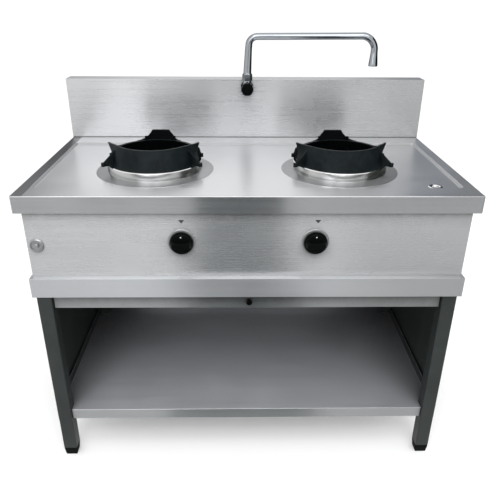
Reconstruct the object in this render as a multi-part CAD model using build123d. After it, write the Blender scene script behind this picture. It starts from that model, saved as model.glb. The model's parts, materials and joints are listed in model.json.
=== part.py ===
"""Two-burner gas wok range on an open stand, with a swivel tap on its backsplash.

Frame: millimetres, +Z up, origin on the floor under the middle of the range,
-Y towards the cook, +X to the cook's right.
"""
from build123d import *
import math
import os

# ------------------------------------------------------------------ driving sizes
WIDTH = 1200.0              # worktop, left to right
DEPTH = 660.0               # worktop, lip to the back of the splash
WORKTOP_HEIGHT = 880.0      # floor to the raised rim of the worktop
SPLASH_HEIGHT = 195.0       # above the worktop
SPLASH_DEPTH = 60.0
KNOB_REACH = 22.0           # how far the gas knobs stand in front of the lip
SHEET = 1.5                 # folded panels
TOP_SHEET = 2.0             # worktop

Y_FRONT = KNOB_REACH / 2 - DEPTH / 2
Y_BACK = Y_FRONT + DEPTH
Y_SPLASH = Y_BACK - SPLASH_DEPTH
SPLASH_TOP = WORKTOP_HEIGHT + SPLASH_HEIGHT

# ------------------------------------------------------------------ worktop
LIP_HEIGHT = 46.5
LIP_RETURN = 8.0
LIP_EDGE_R = 2.5
LIP_CORNER_R = 4.0
RIM_FRONT, RIM_BACK, RIM_SIDE = 64.0, 75.0, 30.0
WELL_DEPTH = 6.0
WELL_CORNER_R = 14.0
LIP_BOTTOM = WORKTOP_HEIGHT - LIP_HEIGHT
WELL_FLOOR = WORKTOP_HEIGHT - WELL_DEPTH
RIM_UNDERSIDE = WORKTOP_HEIGHT - TOP_SHEET

# ------------------------------------------------------------------ burners
BURNER_X = 267.0
BURNER_Y = Y_FRONT + 248.0
BURNER_HOLE_R = 126.0
COLLAR_R, COLLAR_WALL, COLLAR_HEIGHT = 135.0, 3.0, 28.0
SKIRT_R, SKIRT_RISE, SKIRT_SHEET = 168.0, 5.0, 1.2      # shallow cone round the collar
COLLAR_SEAT_R = 122.0
COLLAR_TOP = WELL_FLOOR + COLLAR_HEIGHT

RING_FOOT_R, RING_RIM_R, RING_WALL = 126.0, 111.0, 8.0
RING_FRONT_RISE = 56.0      # front wall above the collar
RING_LOW_RISE = 30.0        # rim between the lobes
RING_BACK_LOBE_RISE = 57.0
FLARE_START, FLARE_TIP, FLARE_END = -37.0, -3.0, 32.0   # degrees from +X
FLARE_R, FLARE_DROP = 130.0, 4.0    # the front wall opens to this at its two tips
RING_INSET = 1.5            # lobe and flares are rooted this deep inside the wall
RING_SPIGOT = 6.0
BACK_LOBE_LEAN_R = 133.0
BACK_LOBE_TOP, BACK_LOBE_FOOT = 22.5, 66.0     # half-widths
SIDE_LOBE_SWING = 6.5       # degrees that the side ribs sit in front of the middle
RIB_SWING = 20.0            # degrees from a lobe's middle to each of its ribs
RIB_THICKNESS = 7.0
RIB_REACH_R, RIB_SHORT_R = 156.0, 141.0    # front ribs and the four others
RIB_FOOT_R = 6.0

BOWL_R, BOWL_FLANGE_R, BOWL_SHEET = 120.0, 131.0, 2.0
BOWL_FLOOR_Z, BOWL_FLOOR_R, BOWL_HOLE_R = 800.0, 64.0, 48.0
BOWL_WAIST_Z = 850.0
HEAD_R, HEAD_BORE_R, HEAD_TOP_Z = 46.0, 38.0, 835.0
HEAD_FLANGE_R, HEAD_FLANGE_T = 58.0, 8.0
GAS_Z = 750.0               # axis of knobs, valves and mixing tubes
ELBOW_R, ELBOW_BORE_R, ELBOW_REACH = 24.0, 16.0, 40.0
CAP_R, CAP_RISE, CAP_PORTS = 50.0, 24.0, 24
PILOT_CIRCLE_R = 78.0
PILOT_STEP = 18.0           # degrees between pilot, electrode and thermocouple
PROBE_DROP = 20.0           # how far pilot and probes hang below their bracket

# ------------------------------------------------------------------ control housing
HOUSING_HALF = 580.0
PANEL_Y = Y_FRONT + 10.0
HOUSING_BOTTOM = 648.0
HOUSING_BACK_Y = 294.0
PANEL_FLANGE = 15.0
KNOB_X = 176.0
KNOB_R = 31.0
KNOB_GAP = 5.0              # skirt to bezel, room for the push
KNOB_SKIRT, KNOB_BAR_W = 12.0, 15.0
BEZEL_R, BEZEL_T = 36.0, 2.0
SPINDLE_R, SPINDLE_FLAT = 4.0, 2.6
TONGUE = 3.0                # spindle tongue in the slot of the plug
RUN_GAP = 0.05              # radial clearance of running fits
IGNITER_X, IGNITER_Z = -555.0, 740.0
IGNITER_R = 18.8

# ------------------------------------------------------------------ gas and water
MANIFOLD_Y, MANIFOLD_Z, MANIFOLD_R = Y_FRONT + 57.0, 715.0, 10.65
MANIFOLD_X = 540.0          # run to the rear inlet
NIPPLE_R, NIPPLE_LENGTH = 10.48, 28.0
VALVE_R, VALVE_REAR_Y = 16.0, PANEL_Y + 64.0
PLUG_R, PLUG_LENGTH, PLUG_Y = 9.0, 26.0, PANEL_Y + 20.0
INJECTOR_Y = VALVE_REAR_Y + 50.0
DRAIN_X, DRAIN_Y = 501.0, Y_FRONT + 90.0
DRAIN_FLANGE_R, DRAIN_TAIL_R, DRAIN_PIPE_R = 19.0, 14.0, 12.0
DRAIN_REAR_Z, DRAIN_SPIGOT_R = 745.0, 12.7
SERVICE_END_Y = Y_BACK - 6.0
TAP_X, TAP_Y = 3.0, Y_SPLASH - 35.0
TAP_Z = SPLASH_TOP - 22.0
TAP_KNOB_R, ROSETTE_R = 20.0, 20.5
SPOUT_R, SPOUT_WALL = 11.0, 1.5
RISER_FOOT_R, NOZZLE_R, NOZZLE_LENGTH = 13.0, 14.5, 40.0
TAP_NUT_HEIGHT = 23.0
SPOUT_X, SPOUT_Y = 401.0, TAP_Y - 45
SPOUT_CORNER_Z, SPOUT_ARM_Z, SPOUT_OUTLET_Z = 1212.0, 1219.0, 1129.0
AERATOR_R, AERATOR_DEPTH = 10.5, 10.0
WATER_PIPE_Y, WATER_PIPE_R, WATER_END_Z = Y_SPLASH + 33.0, 8.0, 700.0

# ------------------------------------------------------------------ stand
BAND_HALF = 586.0
BAND_Y = Y_FRONT - 6.0
BAND_BACK_Y = 298.0
BAND_BOTTOM = 591.0
BAND_FLANGE = 60.0
BAND_SIDE_FLANGE = 45.0
LEG = 40.0
LEG_WALL = 2.0
LEG_OUTER_X = 581.0
LEG_FRONT_Y, LEG_BACK_Y = PANEL_Y, HOUSING_BACK_Y
LEG_BOTTOM = 30.0
INSERT_HEIGHT = 20.0
FOOT_TOP_R, FOOT_FLOOR_R, FOOT_SPINDLE_R = 20.0, 14.0, 6.0
FOOT_SPINDLE_TOP = 72.0
SHELF_TOP, SHELF_LIP, SHELF_GAP = 177.0, 34.0, 5.0
SHELF_UPSTAND = 30.0        # edges turned up along the sides and the back
SHELF_FRONT_Y = LEG_FRONT_Y + 9.0
PANEL_BOTTOM = SHELF_TOP - SHELF_LIP
TRAY_HALF, TRAY_BOTTOM, TRAY_TOP = 538.0, 543.0, 587.0
TRAY_FRONT_Y, TRAY_BACK_Y = Y_FRONT + 20.0, 245.0
TRAY_KNOB_X, TRAY_KNOB_Z = 3.0, 564.0

SIDES = {"left": -1, "right": 1}


# ------------------------------------------------------------------ helpers
def block(x0, x1, y0, y1, z0, z1):
    """A box between two opposite corners."""
    middle = Pos((x0 + x1) / 2, (y0 + y1) / 2, (z0 + z1) / 2)
    return middle * Box(abs(x1 - x0), abs(y1 - y0), abs(z1 - z0))


def rod_z(x, y, z0, z1, radius):
    """An upright cylinder."""
    return Pos(x, y, (z0 + z1) / 2) * Cylinder(radius, z1 - z0)


def rod_y(x, z, y0, y1, radius):
    """A cylinder along Y."""
    return Pos(x, (y0 + y1) / 2, z) * Rot(90, 0, 0) * Cylinder(radius, y1 - y0)


def rod_x(y, z, x0, x1, radius):
    """A cylinder along X."""
    return Pos((x0 + x1) / 2, y, z) * Rot(0, 90, 0) * Cylinder(radius, x1 - x0)


def turned(points, x, y, arc=360.0, start=0.0):
    """Revolve an (r, z) outline about the upright axis through (x, y)."""
    outline = Polyline(*[(r, 0, z) for r, z in points], close=True)
    solid = revolve(make_face(outline), Axis.Z, revolution_arc=arc)
    return Pos(x, y, 0) * Rot(0, 0, start) * solid


def turned_y(points, x, z):
    """Revolve an (r, y) outline about the axis along Y through (x, z)."""
    outline = Polyline(*[(r, y, 0) for r, y in points], close=True)
    return Pos(x, 0, z) * revolve(make_face(outline), Axis.Y)


def pipe(route, bends, outer, inner=0.0):
    """A round tube along straight runs joined by arcs."""
    path = FilletPolyline(*route, radius=bends)
    start = Plane(origin=route[0], z_dir=Vector(*route[1]) - Vector(*route[0]))
    section = start * Circle(outer)
    if inner:
        section -= start * Circle(inner)
    return sweep(section, path=path)


def write(name, shape):
    """One STEP file per piece, named after the piece."""
    shape.label = name
    export_step(shape, f"parts/{name}.step")


# ------------------------------------------------------------------ worktop and splash
def worktop():
    """Pressed top: raised rim, sloped well, folded lip with a return."""
    half = WIDTH / 2
    body = block(-half, half, Y_FRONT, Y_BACK, LIP_BOTTOM, WORKTOP_HEIGHT)
    body = fillet(body.edges().filter_by(Axis.Z), LIP_CORNER_R)
    body = fillet(body.faces().sort_by(Axis.Z)[-1].edges(), LIP_EDGE_R)

    well_y0, well_y1 = Y_FRONT + RIM_FRONT, Y_SPLASH - RIM_BACK
    well_x, well_y = WIDTH - 2 * RIM_SIDE, well_y1 - well_y0
    middle = (well_y0 + well_y1) / 2

    def tapered(z_top, z_bottom, grow):
        upper = Pos(0, middle, z_top) * RectangleRounded(
            well_x + 2 * grow, well_y + 2 * grow, WELL_CORNER_R + grow)
        drop = z_top - z_bottom
        lower = Pos(0, middle, z_bottom) * RectangleRounded(
            well_x + 2 * (grow - drop), well_y + 2 * (grow - drop), WELL_CORNER_R + grow - drop)
        return loft([upper, lower], ruled=True)

    body -= tapered(WORKTOP_HEIGHT, WELL_FLOOR, 0)
    hollow = block(-half + TOP_SHEET, half - TOP_SHEET, Y_FRONT + TOP_SHEET, Y_BACK - TOP_SHEET,
                   LIP_BOTTOM + TOP_SHEET, RIM_UNDERSIDE)
    hollow -= tapered(WORKTOP_HEIGHT, WELL_FLOOR - TOP_SHEET, TOP_SHEET)
    body -= hollow
    body -= block(-half + LIP_RETURN, half - LIP_RETURN, Y_FRONT + LIP_RETURN,
                  Y_BACK - LIP_RETURN, LIP_BOTTOM, LIP_BOTTOM + TOP_SHEET)
    for side in SIDES.values():
        body -= rod_z(side * BURNER_X, BURNER_Y, LIP_BOTTOM, WORKTOP_HEIGHT, BURNER_HOLE_R)
    body -= rod_z(DRAIN_X, DRAIN_Y, LIP_BOTTOM, WORKTOP_HEIGHT, DRAIN_TAIL_R + 1)
    body -= rod_z(TAP_X, WATER_PIPE_Y, LIP_BOTTOM, WORKTOP_HEIGHT + 1, WATER_PIPE_R + 1)
    return body


def backsplash():
    """Folded box: front, top and ends, with turned-in edges round its open back."""
    half, back_return = WIDTH / 2, 18.0
    shell = block(-half, half, Y_SPLASH, Y_BACK, WORKTOP_HEIGHT, SPLASH_TOP)
    shell = fillet(shell.edges().filter_by(Axis.Z), SHEET)
    shell -= block(-half + SHEET, half - SHEET, Y_SPLASH + SHEET, Y_BACK - SHEET,
                   WORKTOP_HEIGHT, SPLASH_TOP - SHEET)
    shell -= block(-half + back_return, half - back_return, Y_BACK - SHEET, Y_BACK,
                   WORKTOP_HEIGHT, SPLASH_TOP - back_return)
    shell -= rod_y(TAP_X, TAP_Z, Y_SPLASH, Y_SPLASH + SHEET, 14.0)
    return shell


# ------------------------------------------------------------------ control housing
def front_panel():
    """Flat control panel with a foot flange, bored for the valves and the igniter."""
    panel = block(-HOUSING_HALF, HOUSING_HALF, PANEL_Y, PANEL_Y + SHEET,
                  HOUSING_BOTTOM, RIM_UNDERSIDE)
    flange_half = HOUSING_HALF - SHEET
    panel += block(-flange_half, flange_half, PANEL_Y, PANEL_Y + PANEL_FLANGE,
                   HOUSING_BOTTOM, HOUSING_BOTTOM + SHEET)
    for side in SIDES.values():
        panel -= rod_y(side * KNOB_X, GAS_Z, PANEL_Y, PANEL_Y + SHEET, 9.0)
    panel -= rod_y(IGNITER_X, IGNITER_Z, PANEL_Y, PANEL_Y + SHEET, 12.0)
    return panel


def housing_side(side):
    """End wall of the control housing with a foot flange and a row of vent slots."""
    y0, y1 = PANEL_Y + SHEET, HOUSING_BACK_Y
    outer, inner = side * HOUSING_HALF, side * (HOUSING_HALF - SHEET)
    wall = block(inner, outer, y0, y1, HOUSING_BOTTOM, RIM_UNDERSIDE)
    wall += block(side * (HOUSING_HALF - PANEL_FLANGE), outer, y0 + PANEL_FLANGE, y1 - PANEL_FLANGE,
                  HOUSING_BOTTOM, HOUSING_BOTTOM + SHEET)
    slots, pitch, length, height = 9, 22.0, 60.0, 7.0
    for row in range(2):
        for i in range(slots):
            y = (i - (slots - 1) / 2) * pitch
            z = 730.0 + row * (length + 15)
            slot = Pos(side * HOUSING_HALF, y, z) * Rot(0, 90, 0) * extrude(
                SlotOverall(length, height), 2 * SHEET, both=True)
            wall -= slot
    return wall


def housing_back():
    """Rear wall of the control housing with holes for the gas and drain pipes."""
    half = HOUSING_HALF - SHEET
    y1 = HOUSING_BACK_Y
    wall = block(-half, half, y1 - SHEET, y1, HOUSING_BOTTOM, RIM_UNDERSIDE)
    wall += block(-half + PANEL_FLANGE, half - PANEL_FLANGE, y1 - PANEL_FLANGE, y1,
                  HOUSING_BOTTOM, HOUSING_BOTTOM + SHEET)
    wall -= rod_y(MANIFOLD_X, MANIFOLD_Z, y1 - SHEET, y1, MANIFOLD_R + 2)
    wall -= rod_y(DRAIN_X, DRAIN_REAR_Z, y1 - SHEET, y1, DRAIN_PIPE_R + 3)
    return wall


# ------------------------------------------------------------------ burners
def burner_collars():
    """Two low polished rings round the burner holes, with a turned-in seat and a skirt."""
    wall_r = COLLAR_R - COLLAR_WALL
    outline = [(wall_r, WELL_FLOOR), (COLLAR_R, WELL_FLOOR),
               (COLLAR_R, WELL_FLOOR + SKIRT_RISE - SKIRT_SHEET), (SKIRT_R - 3, WELL_FLOOR),
               (SKIRT_R, WELL_FLOOR), (SKIRT_R, WELL_FLOOR + 0.6),
               (COLLAR_R, WELL_FLOOR + SKIRT_RISE), (COLLAR_R, COLLAR_TOP - 2),
               (COLLAR_R - 2, COLLAR_TOP), (COLLAR_SEAT_R, COLLAR_TOP),
               (COLLAR_SEAT_R, COLLAR_TOP - COLLAR_WALL), (wall_r, COLLAR_TOP - COLLAR_WALL)]
    return Compound([turned(outline, s * BURNER_X, BURNER_Y) for s in SIDES.values()])


def ring_lobe(top_z, lean_r, top_half, foot_half, spread):
    """Rear pan rest, built facing +X: a leaning wall cut to a bell-shaped outline."""
    base_z = COLLAR_TOP + RING_LOW_RISE - 12
    wall_r = ring_wall_r(base_z)
    outline = [(wall_r - RING_WALL + RING_INSET, base_z), (wall_r - RING_INSET, base_z),
               (lean_r, top_z), (lean_r - RING_WALL + 1, top_z)]
    wall = turned(outline, 0, 0, arc=2 * spread, start=-spread)
    low_z = COLLAR_TOP + RING_LOW_RISE
    belly = (top_half + foot_half) / 2 - 0.12 * (foot_half - top_half)
    belly_z = low_z + 0.3 * (top_z - low_z)
    right = ThreePointArc((0, top_half, top_z), (0, belly, belly_z), (0, foot_half, low_z))
    left = ThreePointArc((0, -foot_half, low_z), (0, -belly, belly_z), (0, -top_half, top_z))
    bell = (right + Polyline((0, foot_half, low_z), (0, foot_half, base_z),
                             (0, -foot_half, base_z), (0, -foot_half, low_z))
            + left + Line((0, -top_half, top_z), (0, top_half, top_z)))
    return wall & extrude(make_face(bell), 2 * COLLAR_R, dir=(1, 0, 0))


def ring_wall_r(z):
    """Outer radius of the ring's tapered wall at a height."""
    return RING_FOOT_R - (RING_FOOT_R - RING_RIM_R) * (z - COLLAR_TOP) / RING_FRONT_RISE


def ring_section(angle, top_r, top_z):
    """Radial section through the flared wall, rooted inside the tapered wall."""
    root_z = COLLAR_TOP + RING_LOW_RISE - 12
    root_r = ring_wall_r(root_z)
    outline = [(root_r - RING_WALL + RING_INSET, root_z), (root_r - RING_INSET, root_z),
               (top_r, top_z), (top_r - RING_WALL + 2, top_z)]
    c, s = math.cos(math.radians(angle)), math.sin(math.radians(angle))
    return make_face(Polyline(*[(r * c, r * s, z) for r, z in outline], close=True))


def ring_flare():
    """Right end of the front wall: it opens outwards to a tip, then falls to the low rim."""
    crest_z, low_z = COLLAR_TOP + RING_FRONT_RISE - 0.5, COLLAR_TOP + RING_LOW_RISE - 0.5
    tip_z = crest_z - FLARE_DROP
    spread, steps, opening, falling = FLARE_R - RING_RIM_R, 5, [], []
    for i in range(steps):
        share = i / (steps - 1)
        opening.append(ring_section(FLARE_START + share * (FLARE_TIP - FLARE_START),
                                    RING_RIM_R - 0.5 + share ** 3 * (spread + 0.5),
                                    crest_z - share * FLARE_DROP))
        height = (1 - share) ** 2.2
        z = low_z + height * (tip_z - low_z)
        lean_r = FLARE_R - ring_wall_r(tip_z) + 0.5
        falling.append(ring_section(FLARE_TIP + share * (FLARE_END - FLARE_TIP),
                                    ring_wall_r(z) - 0.5 + height * lean_r, z))
    return loft(opening) + loft(falling)


def ring_rib(reach):
    """Gusset that flares from the wall to a round foot outside the collar, facing +X."""
    root_r, head_z, foot_z = RING_FOOT_R - 12, COLLAR_TOP + 43, COLLAR_TOP
    toe_r = reach - RIB_FOOT_R
    outline = Polyline((root_r, 0, foot_z), (toe_r, 0, foot_z), (toe_r, 0, foot_z + 9),
                       (RING_FOOT_R + 4, 0, head_z - 16), (root_r + 1, 0, head_z),
                       (root_r - 2, 0, head_z), close=True)
    web = extrude(make_face(outline), RIB_THICKNESS / 2, dir=(0, 1, 0), both=True)
    return web + rod_z(toe_r, 0, foot_z, foot_z + 10, RIB_FOOT_R)


def wok_ring(side):
    """Cast ring: tapered wall, high flared front, rear pan rest, six ribs and a spigot."""
    z0, front_z, low_z = COLLAR_TOP, COLLAR_TOP + RING_FRONT_RISE, COLLAR_TOP + RING_LOW_RISE
    spigot_r = COLLAR_SEAT_R - 0.5
    outline = [(RING_FOOT_R - RING_WALL, z0 - RING_SPIGOT), (spigot_r, z0 - RING_SPIGOT),
               (spigot_r, z0), (RING_FOOT_R, z0), (RING_RIM_R, front_z),
               (RING_RIM_R - RING_WALL + 2, front_z), (RING_RIM_R - RING_WALL, front_z - 3)]
    ring = turned(outline, 0, 0)
    crest_y, dip_y, reach = -62.0, -20.0, COLLAR_R
    fall = ThreePointArc((0, crest_y, front_z), (0, (crest_y + dip_y) / 2 + 4, low_z + 6),
                         (0, dip_y, low_z))
    scoop = fall + Polyline((0, dip_y, low_z), (0, reach, low_z), (0, reach, front_z + 1),
                            (0, crest_y, front_z + 1), (0, crest_y, front_z))
    ring -= extrude(make_face(scoop), reach, dir=(1, 0, 0), both=True)
    flare = ring_flare()
    ring += flare + mirror(flare, about=Plane.YZ)
    ring += Rot(0, 0, 90) * ring_lobe(z0 + RING_BACK_LOBE_RISE, BACK_LOBE_LEAN_R,
                                      BACK_LOBE_TOP, BACK_LOBE_FOOT, 48.0)
    for swing in (90 - RIB_SWING, 90 + RIB_SWING, RIB_SWING - SIDE_LOBE_SWING,
                  180 - RIB_SWING + SIDE_LOBE_SWING):
        ring += Rot(0, 0, swing) * ring_rib(RIB_SHORT_R)
    for swing in (-RIB_SWING - SIDE_LOBE_SWING, 180 + RIB_SWING + SIDE_LOBE_SWING):
        ring += Rot(0, 0, swing) * ring_rib(RIB_REACH_R)
    return Pos(side * BURNER_X, BURNER_Y, 0) * ring


def flame_bowl(side):
    """Spun bowl that hangs in the worktop hole and carries the burner on its floor."""
    t = BOWL_SHEET
    outline = [(BOWL_R - t, WELL_FLOOR + t), (BOWL_FLANGE_R, WELL_FLOOR + t),
               (BOWL_FLANGE_R, WELL_FLOOR), (BOWL_R, WELL_FLOOR), (BOWL_R, BOWL_WAIST_Z),
               (BOWL_FLOOR_R, BOWL_FLOOR_Z), (BOWL_HOLE_R, BOWL_FLOOR_Z),
               (BOWL_HOLE_R, BOWL_FLOOR_Z + t), (BOWL_FLOOR_R - 1, BOWL_FLOOR_Z + t),
               (BOWL_R - t, BOWL_WAIST_Z + 1)]
    bowl = turned(outline, side * BURNER_X, BURNER_Y)
    for x, y in pilot_places(side):
        bowl -= rod_z(x, y, BOWL_FLOOR_Z, BOWL_WAIST_Z, 5.0)
    return bowl


def pilot_places(side):
    """Axes of pilot, electrode and thermocouple, in front of the burner head."""
    places = []
    for step in (-1, 0, 1):
        angle = math.radians(step * PILOT_STEP - 90)
        places.append((side * BURNER_X + PILOT_CIRCLE_R * math.cos(angle),
                       BURNER_Y + PILOT_CIRCLE_R * math.sin(angle)))
    return places


def burner_head(side):
    """Cast head: gas chamber on a bolting flange, with an elbow to the mixing tube."""
    x, y = side * BURNER_X, BURNER_Y
    flange_z = BOWL_FLOOR_Z - HEAD_FLANGE_T
    body = turned([(0, flange_z), (HEAD_FLANGE_R, flange_z), (HEAD_FLANGE_R, BOWL_FLOOR_Z),
                   (HEAD_R, BOWL_FLOOR_Z), (HEAD_R, HEAD_TOP_Z), (0, HEAD_TOP_Z)], x, y)
    body += rod_z(x, y, GAS_Z, flange_z, ELBOW_R)
    body += Pos(x, y, GAS_Z) * Sphere(ELBOW_R)
    body += rod_y(x, GAS_Z, y - ELBOW_REACH, y, ELBOW_R)
    body -= rod_z(x, y, BOWL_FLOOR_Z + 4, HEAD_TOP_Z, HEAD_BORE_R)
    body -= rod_z(x, y, GAS_Z, BOWL_FLOOR_Z + 5, ELBOW_BORE_R)
    body -= rod_y(x, GAS_Z, y - ELBOW_REACH, y, ELBOW_BORE_R)
    body -= Pos(x, y, GAS_Z) * Sphere(ELBOW_BORE_R)
    for i in range(4):
        angle = math.radians(45 + 90 * i)
        hole_r = (HEAD_FLANGE_R + HEAD_R) / 2 + 1
        body -= rod_z(x + hole_r * math.cos(angle), y + hole_r * math.sin(angle),
                      flange_z, BOWL_FLOOR_Z, 2.6)
    return body


def burner_caps():
    """Two conical caps, each with a ring of slanted ports and a ring of upright ones."""
    spigot_r, spigot = HEAD_BORE_R - 0.4, 8.0
    crown_r = CAP_R - 24
    outline = [(spigot_r - 6, HEAD_TOP_Z - spigot), (spigot_r, HEAD_TOP_Z - spigot),
               (spigot_r, HEAD_TOP_Z), (CAP_R, HEAD_TOP_Z), (CAP_R, HEAD_TOP_Z + 7),
               (crown_r, HEAD_TOP_Z + CAP_RISE), (0, HEAD_TOP_Z + CAP_RISE),
               (0, HEAD_TOP_Z + CAP_RISE - 6), (crown_r - 4, HEAD_TOP_Z + CAP_RISE - 6),
               (spigot_r - 6, HEAD_TOP_Z + 3)]
    cap = turned(outline, 0, 0)
    for i in range(CAP_PORTS):
        turn = Rot(0, 0, 360 / CAP_PORTS * i)
        slanted = Pos(spigot_r - 2, 0, HEAD_TOP_Z + 14) * Rot(0, 35, 0) * Cylinder(1.8, 30)
        cap -= turn * slanted
    for i in range(CAP_PORTS // 3):
        turn = Rot(0, 0, 1080 / CAP_PORTS * i)
        cap -= turn * rod_z(crown_r - 10, 0, HEAD_TOP_Z + 10, HEAD_TOP_Z + CAP_RISE + 1, 1.8)
    return Compound([Pos(s * BURNER_X, BURNER_Y, 0) * cap for s in SIDES.values()])


def mixing_tubes():
    """Two venturi tubes: bell mouth, throat and cone, from injector to burner elbow."""
    y_end, y_mouth = BURNER_Y - ELBOW_REACH, INJECTOR_Y + 24
    throat_y = y_mouth + 26
    outline = [(ELBOW_BORE_R, y_end), (ELBOW_BORE_R + 5, y_end), (ELBOW_BORE_R + 3, y_end - 12),
               (14.0, throat_y), (25.0, y_mouth), (22.0, y_mouth), (11.0, throat_y)]
    return Compound([turned_y(outline, s * BURNER_X, GAS_Z) for s in SIDES.values()])


def injectors():
    """Two brass jets with hexagon shoulders, each aimed into a mixing tube."""
    jets = []
    for s in SIDES.values():
        nose = turned_y([(0, INJECTOR_Y + 10), (7, INJECTOR_Y + 10), (4, INJECTOR_Y + 22),
                         (1, INJECTOR_Y + 22), (1, INJECTOR_Y + 14), (0, INJECTOR_Y + 14)],
                        s * BURNER_X, GAS_Z)
        hexagon = Plane(origin=(s * BURNER_X, INJECTOR_Y, GAS_Z), z_dir=(0, 1, 0)) * \
            RegularPolygon(9.5, 6)
        jets.append(nose + extrude(hexagon, 10))
    return Compound(jets)


def pilot_burners():
    """Two pilots, each a bracket under the head flange with a hooded flame tube."""
    plate_t, plate_z = 3.0, BOWL_FLOOR_Z - HEAD_FLANGE_T
    pilots = []
    for s in SIDES.values():
        x = s * BURNER_X
        places = pilot_places(s)
        plate = block(x - 34, x + 34, BURNER_Y - PILOT_CIRCLE_R - 10, BURNER_Y - ELBOW_R - 4,
                      plate_z - plate_t, plate_z)
        for px, py in places[1:]:
            plate -= rod_z(px, py, plate_z - plate_t, plate_z, 3.0 + RUN_GAP)
        px, py = places[0]
        tube = rod_z(px, py, plate_z - PROBE_DROP, HEAD_TOP_Z + 2, 3.5)
        hood = rod_z(px, py, HEAD_TOP_Z + 2, HEAD_TOP_Z + 16, 6.5)
        hood -= block(px - 7, px + 7, py, py + 8, HEAD_TOP_Z + 5, HEAD_TOP_Z + 13)
        pilots.append(plate + tube + hood)
    return Compound(pilots)


def probes(place, wide_r, tip_r, top_z):
    """Two slim probes in the pilot brackets: shank below, thinner tip above."""
    plate_z = BOWL_FLOOR_Z - HEAD_FLANGE_T
    pieces = []
    for s in SIDES.values():
        x, y = pilot_places(s)[place]
        shank = rod_z(x, y, plate_z - PROBE_DROP, HEAD_TOP_Z - 5, wide_r)
        pieces.append(shank + rod_z(x, y, HEAD_TOP_Z - 5, top_z, tip_r))
    return Compound(pieces)


# ------------------------------------------------------------------ gas controls
def gas_valve(side):
    """Tap body behind the panel: bored for its plug, with a foot on the manifold."""
    x, y0 = side * KNOB_X, PANEL_Y + SHEET
    body = rod_y(x, GAS_Z, y0, y0 + 6, 21.0)
    body += rod_y(x, GAS_Z, y0 + 6, VALVE_REAR_Y - 14, VALVE_R)
    body += rod_y(x, GAS_Z, VALVE_REAR_Y - 14, VALVE_REAR_Y, 9.0)
    body += rod_z(x, MANIFOLD_Y, MANIFOLD_Z + 16, GAS_Z, 9.0)
    body += rod_y(x, GAS_Z, PANEL_Y - BEZEL_T, y0, 8.5)
    body -= rod_y(x, GAS_Z, PANEL_Y - BEZEL_T, PLUG_Y, SPINDLE_R + RUN_GAP)
    body -= rod_y(x, GAS_Z, PLUG_Y, PLUG_Y + PLUG_LENGTH + 1, PLUG_R + RUN_GAP)
    return body - rod_y(x, GAS_Z, PLUG_Y + PLUG_LENGTH, VALVE_REAR_Y, 3.5)


def valve_plug(side):
    """Plug that turns in the valve, with a gas port and a slot for the spindle's tongue."""
    x, y1 = side * KNOB_X, PLUG_Y + PLUG_LENGTH
    plug = rod_y(x, GAS_Z, PLUG_Y, y1, PLUG_R)
    plug -= block(x - TONGUE / 2 - RUN_GAP, x + TONGUE / 2 + RUN_GAP, PLUG_Y, PLUG_Y + 15,
                  GAS_Z - PLUG_R, GAS_Z + PLUG_R)
    plug -= rod_y(x, GAS_Z, PLUG_Y + 20, y1, 3.5)
    return plug - rod_z(x, PLUG_Y + 23, GAS_Z - PLUG_R, GAS_Z, 2.5)


def d_section(radius, flat, x, y, z):
    """Round section with one flat on top, for a spindle or its socket."""
    plane = Plane(origin=(x, y, z), x_dir=(1, 0, 0), z_dir=(0, 1, 0))
    cut = block(x - radius, x + radius, y - 1, y + 1, z + flat, z + 2 * radius)
    return (plane * Circle(radius)) - cut


def valve_spindle(side):
    """Spindle with a flat for the knob in front and a tongue for the plug behind."""
    x, tip_y = side * KNOB_X, PANEL_Y - BEZEL_T - KNOB_GAP - 9
    y_flat = PANEL_Y - BEZEL_T - 1
    spindle = rod_y(x, GAS_Z, y_flat, PLUG_Y - KNOB_GAP, SPINDLE_R)
    spindle += block(x - TONGUE / 2, x + TONGUE / 2, PLUG_Y - KNOB_GAP, PLUG_Y + 8,
                     GAS_Z - 3, GAS_Z + 3)
    return spindle + extrude(d_section(SPINDLE_R, SPINDLE_FLAT, x, tip_y, GAS_Z),
                             y_flat - tip_y, dir=(0, 1, 0))


def knob(side):
    """Gas knob: bevelled skirt and a horizontal grip bar with drawn-in cheeks."""
    x, back = side * KNOB_X, PANEL_Y - BEZEL_T - KNOB_GAP
    front = back - KNOB_SKIRT
    tip = Y_FRONT - KNOB_REACH
    skirt = turned_y([(0, back), (KNOB_R, back), (KNOB_R, back - 5), (KNOB_R - 3, front + 1.5),
                      (KNOB_R - 5, front), (0, front)], x, GAS_Z)
    plane = Plane(origin=(x, front, GAS_Z), x_dir=(1, 0, 0), z_dir=(0, -1, 0))
    foot = plane * RectangleRounded(2 * KNOB_R - 8, KNOB_BAR_W + 5, 6)
    nose = plane.offset(front - tip) * RectangleRounded(2 * KNOB_R - 16, KNOB_BAR_W - 2, 5)
    bar = loft([foot, nose])
    bar = fillet(bar.faces().sort_by(Axis.Y)[0].edges(), 1.5)
    body = skirt + bar
    hub = rod_y(x, GAS_Z, back - 1, back + 0.5, 9.0)
    socket_depth = 12.0
    socket = extrude(d_section(SPINDLE_R + RUN_GAP, SPINDLE_FLAT + RUN_GAP, x,
                               back - socket_depth, GAS_Z), socket_depth + 1, dir=(0, 1, 0))
    return body + hub - socket


def knob_bezels():
    """Two thin dished rings between the knobs and the panel."""
    inner = 9.0
    outline = [(inner, PANEL_Y), (BEZEL_R, PANEL_Y), (BEZEL_R, PANEL_Y - 0.8),
               (BEZEL_R - 2, PANEL_Y - BEZEL_T), (inner, PANEL_Y - BEZEL_T)]
    return Compound([turned_y(outline, s * KNOB_X, GAS_Z) for s in SIDES.values()])


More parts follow.
